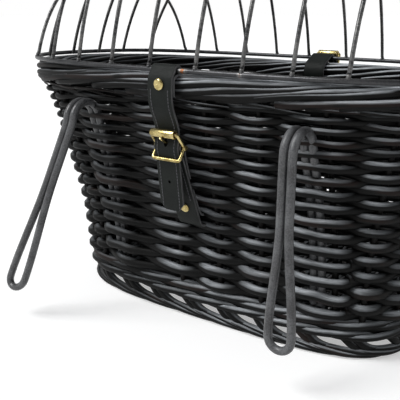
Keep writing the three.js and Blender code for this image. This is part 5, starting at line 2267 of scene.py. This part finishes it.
@dataclass
class Leatherwork:
    """The closure strap and buckle strap on the hook side, and the hinge strap on the far side."""

    finishes: Finishes
    wall: WallShape
    woven: WallShape
    lean_share: float = 0.75
    closure_thickness: float = 2.4
    strap_thickness: float = 2.2
    wire_radius: float = 2.0
    border_out: float = 142.0
    rivet_back: float = 0.5
    closure_rivet_height: float = 217.0
    closure_tip_height: float = 113.5
    strap_skew: Triple = (4.0, 160.0, 62.0)
    buckle_rivet_height: float = 114.0
    lean_from: float = 152.0
    lean_over: float = 46.0
    tip_cut: float = 6.0
    hole_radius: float = 1.8
    prong_hole: Pair = (1.9, 1.84)
    spare_hole_radius: float = 1.35
    sharp_degrees: float = 38.0
    near_buckle: Buckle = field(init=False)
    far_buckle: Buckle = field(init=False)

    def __post_init__(self) -> None:
        """Places the two buckles."""
        out, height = self.wall.near_out(167.0, 5.0)
        self.near_buckle = Buckle(
            self.finishes, "near_buckle", (out, height), 0.0, Side.NEAR,
            Body.NEAR_ROLLER, Body.NEAR_PRONG,
        )
        far_height = RING_HEIGHT - float(rim_fall(RING_HALF_WIDTH)) - 10.0
        self.far_buckle = Buckle(
            self.finishes, "far_buckle", (self.border_out + 6.0, far_height), 20.0, Side.FAR,
            Body.FAR_ROLLER, Body.BASKET,
        )

    def round_wire(self, wire: Pair, start: float, end: float, steps: int) -> list[Array]:
        """Finds a strap's way round the ring's wire, in a side view.

        Args:
            wire: The middle of the wire.
            start: The first angle, in degrees.
            end: The last angle, in degrees.
            steps: How many steps it takes.

        Returns:
            The places.
        """
        reach = self.wire_radius + RUNNING_CLEARANCE + self.closure_thickness / 2
        turns = np.radians(np.linspace(start, end, steps + 1))
        return [np.array([wire[0] + reach * math.cos(t), wire[1] + reach * math.sin(t)])
                for t in turns]

    def finish_strap(
        self, maker: MeshMaker, strap: Strap, name: str, cutters: Sequence[Object],
        spans: Sequence[Pair],
    ) -> Object:
        """Makes a strap: cuts its holes, then sews it.

        Args:
            maker: The mesh that holds the strip.
            strap: The strap.
            name: The name of the object.
            cutters: What is cut out of it.
            spans: Where along it the stitches run.

        Returns:
            The finished object.
        """
        materials = [self.finishes.leather, self.finishes.edge, self.finishes.thread]
        piece = maker.build(name, materials)
        for cutter in cutters:
            hollowed(piece, cutter)
        sewing = MeshMaker()
        strap.stitches(sewing, spans)
        thread = sewing.build(name + "_thread", materials)
        with bpy.context.temp_override(
            active_object=piece, selected_editable_objects=[piece, thread],
        ):
            bpy.ops.object.join()
        piece.data.set_sharp_from_angle(angle=math.radians(self.sharp_degrees))
        return piece

    def build_closure(self) -> None:
        """Builds the strap that closes the dome, and its rivet."""
        buckle, half = self.near_buckle, self.closure_thickness / 2
        back = self.border_out + 2 * CLEARANCE + self.rivet_back + half
        front = back + self.closure_thickness + CLEARANCE
        rivet_height = self.closure_rivet_height
        under_bar = buckle.place(
            buckle.lower_away - buckle.rod_radius - CLEARANCE - half, buckle.lower_along,
        )
        route = rounded_route([
            (back, rivet_height - 9), (back, rivet_height + 5),
            *self.round_wire((RING_HALF_WIDTH, RING_HEIGHT - RING_SETTLE), -80, -360, 16),
            (front, rivet_height + 5), (front, rivet_height - 16),
            *buckle.under_roller(self.closure_thickness), buckle.place(buckle.strap_away, 0),
            under_bar, self.wall.near_out(140, 10.8), self.wall.near_out(126, 11.5),
            self.wall.near_out(self.closure_tip_height, 12.6),
        ])
        strap = Strap(route, self.closure_thickness, Side.NEAR, tip_cut=self.tip_cut)
        maker = MeshMaker()
        strap.add_to(maker)
        hole = buckle.place(buckle.strap_away - 0.6, buckle.hole_along)
        cutters = [
            strap.cutter((front, rivet_height), (1, 0), self.hole_radius),
            strap.cutter(hole, (1, 0.63), *self.prong_hole),
            strap.cutter(self.wall.near_out(138, 10.8), (1, 0), self.spare_hole_radius),
        ]
        piece = self.finish_strap(maker, strap, "closure_strap_leather", cutters, [(0.34, 0.985)])
        place_piece(piece, Body.CLOSURE, "closure_strap")
        faces = half + CLEARANCE
        Rivet(
            self.finishes, "closure_rivet_brass", "closure_rivet", Body.CLOSURE,
            (front + faces, rivet_height), (back - faces, rivet_height), (1.0, 0.0),
        ).build()

    def folded_out(self) -> Pair:
        """Returns how far out the buckle strap's folded layer and covering layer are."""
        folded = self.rivet_back + 2 * CLEARANCE + self.strap_thickness / 2
        return folded, folded + (self.strap_thickness + CLEARANCE) * 1.02

    def strap_out(self, height: float, stand_off: float) -> Pair:
        """Finds a place of the lower strap, which leans in with the woven rods near its end.

        Args:
            height: How high it is.
            stand_off: How far out from the wall.

        Returns:
            How far out and how high it is.
        """
        share = min(1.0, max(0.0, (self.lean_from - height) / self.lean_over))
        out, height = self.wall.near_out(height, stand_off)
        return out - self.lean_share * share * float(self.woven.drawn_in(height)), height

    def buckle_strap_route(self) -> Array:
        """Finds the way of the strap that holds the near buckle in the weave.

        Returns:
            The route, in the side view.
        """
        folded, covering = self.folded_out()
        inside = -self.wall.thickness - CLEARANCE - self.strap_thickness / 2
        out = self.strap_out
        return rounded_route([
            out(140, folded), out(157, folded), *self.near_buckle.loop_over_bar()[::-1],
            out(155, covering + 0.2), out(145, covering), out(104, covering), out(96, 2.5),
            out(96, inside), out(106, inside), out(106, 0.2), out(110, folded), out(130, folded),
        ])

    def build_buckle_strap(self) -> None:
        """Builds the strap that holds the near buckle, and its rivet."""
        folded, covering = self.folded_out()
        strap = Strap(
            self.buckle_strap_route(), self.strap_thickness, Side.NEAR, skew=self.strap_skew,
        )
        maker = MeshMaker()
        strap.add_to(maker)
        high, low = np.array(self.strap_out(130, 0)), np.array(self.strap_out(110, 0))
        rise = unit(high - low)
        through = np.array([rise[1], -rise[0]])
        height = self.buckle_rivet_height
        middle = np.array(self.strap_out(height, (folded + covering) / 2))
        hole = strap.cutter(middle, through, self.hole_radius)
        cutters = [self.slot_cutter(self.near_buckle), hole]
        piece = self.finish_strap(maker, strap, "buckle_strap_leather", cutters, [(0.24, 0.50)])
        place_piece(piece, Body.BASKET, "buckle_strap")
        reach = self.strap_thickness + 1.5 * CLEARANCE
        Rivet(
            self.finishes, "buckle_rivet_brass", "buckle_rivet", Body.BASKET,
            tuple(middle + through * reach), tuple(middle - through * reach), tuple(through),
            place=float(strap.to_space(middle, 0.0)[0]),
        ).build()

    def slot_cutter(self, buckle: Buckle) -> Object:
        """Makes the cutter of the slot that a prong's eye turns in.

        Args:
            buckle: The buckle that the prong is on.

        Returns:
            The cutter.
        """
        reach = buckle.rod_radius + RUNNING_CLEARANCE + 1.5 * self.strap_thickness
        centre = buckle.to_space(buckle.place(0, 0), 0.0)
        maker = MeshMaker()
        path = np.array([centre + [-2.0, 0.0, 0.0], centre + [2.0, 0.0, 0.0]])
        maker.rod(path, reach * 1.12, 24)
        return maker.build("cutter", [])

    def build_hinge(self) -> None:
        """Builds the strap that the dome turns on, round the border and over the ring's wire."""
        buckle, half = self.far_buckle, self.strap_thickness / 2
        wire = (RING_HALF_WIDTH, RING_HEIGHT - float(rim_fall(RING_HALF_WIDTH)))
        to_corner = 1 / math.cos(math.pi / 8)
        out_of = RING_HALF_WIDTH - 8.0

        def round_border(degrees: float) -> Pair:
            """Finds a place of the strap round the border.

            Args:
                degrees: The angle round the border.

            Returns:
                How far out and how high it is.
            """
            t = math.radians(degrees)
            room = 2 * CLEARANCE + half
            out = out_of + (11.0 * to_corner + room) * math.cos(t)
            rise = (10.0 * to_corner + room) * math.sin(t)
            return out, RING_HEIGHT - 15.0 - float(rim_fall(out)) + rise

        under_roller = buckle.under_roller(self.strap_thickness + 2 * CLEARANCE)[1]
        under_bar = buckle.place(
            buckle.lower_away - buckle.rod_radius - CLEARANCE - half, buckle.lower_along,
        )
        out = buckle.centre[0]
        route = rounded_route([
            (out + 1.2, wire[1] - 26), (out + 1.2, wire[1] - 18), *buckle.loop_over_bar(),
            *[round_border(d) for d in range(0, -236, -15)], round_border(-235),
            *self.round_wire(wire, 120, 80, 4), under_roller,
            buckle.place(buckle.strap_away, 0), under_bar,
            (out + 4, wire[1] - 36), (out - 1, wire[1] - 52),
        ])
        strap = Strap(route, self.strap_thickness, Side.FAR, grain=-1, tip_cut=self.tip_cut)
        maker = MeshMaker()
        strap.add_to(maker)
        hole = buckle.place(buckle.strap_away - 0.6, buckle.hole_along)
        cutters = [self.slot_cutter(buckle), strap.cutter(hole, (1, 1), *self.prong_hole)]
        piece = self.finish_strap(maker, strap, "hinge_strap_leather", cutters, [(0.55, 0.985)])
        place_piece(piece, Body.BASKET, "hinge_strap")

    def build(self) -> None:
        """Builds the straps, rivets and buckles."""
        self.near_buckle.build()
        self.far_buckle.build()
        self.build_closure()
        self.build_buckle_strap()
        self.build_hinge()


# Camera, floor and light


@dataclass(frozen=True)
class Lamp:
    """One soft light, from far away."""

    name: str
    strength: float
    comes_from: Triple
    angle: float

    def build(self) -> None:
        """Adds the light."""
        sun = bpy.data.lights.new(self.name, "SUN")
        sun.energy = self.strength
        sun.angle = math.radians(self.angle)
        lamp = bpy.data.objects.new(self.name, sun)
        lamp.rotation_mode = "QUATERNION"
        lamp.rotation_quaternion = Vector(self.comes_from).to_track_quat("Z", "Y")
        bpy.context.scene.collection.objects.link(lamp)


@dataclass
class Studio:
    """The camera, a pale floor, a white wall far off all round and soft light."""

    camera_place: Triple = (311.3, -541.2, 277.0)
    heading: float = 0.616
    pitch: float = 0.292
    lens: float = 59.43
    floor_half: float = 14.0
    floor_colour: Triple = (0.68, 0.68, 0.68)
    floor_glow: float = 0.44
    wall_radius: float = 13.0
    wall_height: float = 4.8
    wall_panels: int = 48
    sky: Triple = (0.95, 0.97, 1.0)
    sky_strength: float = 0.34
    lamps: tuple[Lamp, ...] = (
        Lamp("high_light", 1.60, (-0.42, -0.40, 0.82), 22.0),
        Lamp("front_light", 1.05, (-0.46, -0.62, 0.63), 22.0),
    )

    def build_camera(self) -> None:
        """Adds the camera."""
        data = bpy.data.cameras.new("camera")
        data.lens = self.lens
        data.sensor_width = 36.0
        data.clip_start, data.clip_end = 0.01, 100.0
        camera = bpy.data.objects.new("camera", data)
        bpy.context.scene.collection.objects.link(camera)
        flat = math.cos(self.pitch)
        ahead = Vector((
            -math.sin(self.heading) * flat, math.cos(self.heading) * flat, -math.sin(self.pitch),
        ))
        x, y, z = self.camera_place
        camera.location = (x * MM, (y + SHIFT_Y) * MM, z * MM)
        camera.rotation_mode = "QUATERNION"
        camera.rotation_quaternion = ahead.to_track_quat("-Z", "Y")
        bpy.context.scene.camera = camera

    @staticmethod
    def seen(s: Shader) -> Socket:
        """Finds where the camera, a mirror or clear glass looks at the surface.

        Args:
            s: The material.

        Returns:
            1 there and 0 for other light.
        """
        path = s.node("ShaderNodeLightPath")
        mirrored = s.sum(path.outputs["Is Camera Ray"], path.outputs["Is Glossy Ray"], "MAXIMUM")
        return s.sum(mirrored, path.outputs["Is Transmission Ray"], "MAXIMUM")

    def add_stage(
        self, name: str, corners: Array, faces: list[tuple[int, ...]], s: Shader,
    ) -> Object:
        """Adds the floor or the backdrop.

        Args:
            name: Its name.
            corners: Its corners, in metres.
            faces: Its faces.
            s: Its material.

        Returns:
            The new object.
        """
        mesh = bpy.data.meshes.new(name)
        mesh.from_pydata([tuple(corner) for corner in corners], [], faces)
        mesh.materials.append(s.material)
        made = bpy.data.objects.new(name, mesh)
        bpy.context.scene.collection.objects.link(made)
        return made

    def build_floor(self) -> None:
        """Adds the floor, which takes the basket's shadow."""
        s = Shader("pale_floor")
        s.surface.inputs["Base Color"].default_value = (*self.floor_colour, 1.0)
        s.set(Roughness=0.9, Specular_IOR_Level=0.1)
        s.surface.inputs["Emission Color"].default_value = (1.0, 1.0, 1.0, 1.0)
        s.into("Emission Strength", s.spread(self.seen(s), 0.0, 1.0, 0.0, self.floor_glow))
        h = self.floor_half
        corners = np.array([(-h, -h, 0), (h, -h, 0), (h, h, 0), (-h, h, 0)])
        self.add_stage("floor", corners, [(0, 1, 2, 3)], s)

    def build_backdrop(self) -> None:
        """Adds the white wall that stands far off all round."""
        s = Shader("white_wall")
        s.surface.inputs["Base Color"].default_value = (0.0, 0.0, 0.0, 1.0)
        s.set(Roughness=1.0, Specular_IOR_Level=0.0)
        s.surface.inputs["Emission Color"].default_value = (1.0, 1.0, 1.0, 1.0)
        s.into("Emission Strength", s.spread(self.seen(s), 0.0, 1.0, self.sky_strength, 1.0))
        count = self.wall_panels
        turn = np.arange(count) * 2 * math.pi / count
        ring = np.stack([np.cos(turn), np.sin(turn), 0 * turn], 1) * self.wall_radius
        corners = np.concatenate([ring, ring + np.array([0.0, 0.0, self.wall_height])])
        faces = [(i, (i + 1) % count, (i + 1) % count + count, i + count) for i in range(count)]
        self.add_stage("white_wall", corners, faces, s).visible_shadow = False

    def build_light(self) -> None:
        """Adds the sky and the lamps."""
        world = bpy.data.worlds.new("studio")
        bpy.context.scene.world = world
        world.use_nodes = True
        sky = world.node_tree.nodes["Background"]
        sky.inputs["Color"].default_value = (*self.sky, 1.0)
        sky.inputs["Strength"].default_value = self.sky_strength
        for lamp in self.lamps:
            lamp.build()

    def build(self) -> None:
        """Builds the camera, the floor, the white wall and the lights."""
        self.build_camera()
        self.build_floor()
        self.build_backdrop()
        self.build_light()
        bpy.context.scene.view_settings.view_transform = "Standard"


def main() -> None:
    """Builds the studio, then the basket, piece by piece."""
    logging.basicConfig(level=logging.INFO, format="%(message)s")
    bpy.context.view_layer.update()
    finishes = Finishes()
    wall = WallShape()
    Studio().build()
    woven = WallShape(waist=8.5)
    WovenWall(woven, finishes).build()
    RimBorder(finishes, woven).build()
    FootWale(finishes).build()
    FootBorder(finishes).build()
    WovenBase(finishes).build()
    Hook(
        finishes, wall, woven, "left_hook_rod", "left_hook",
        place=-96.0, bend_height=180.0, length=152.0, splay=-18.3, lean=12.0,
    ).build()
    Hook(
        finishes, wall, woven, "right_hook_rod", "right_hook",
        place=109.0, bend_height=177.0, length=142.0, splay=1.0, lean=3.0,
    ).build()
    Dome(finishes).build()
    Leatherwork(finishes, wall, woven).build()


if __name__ == "__main__":
    main()
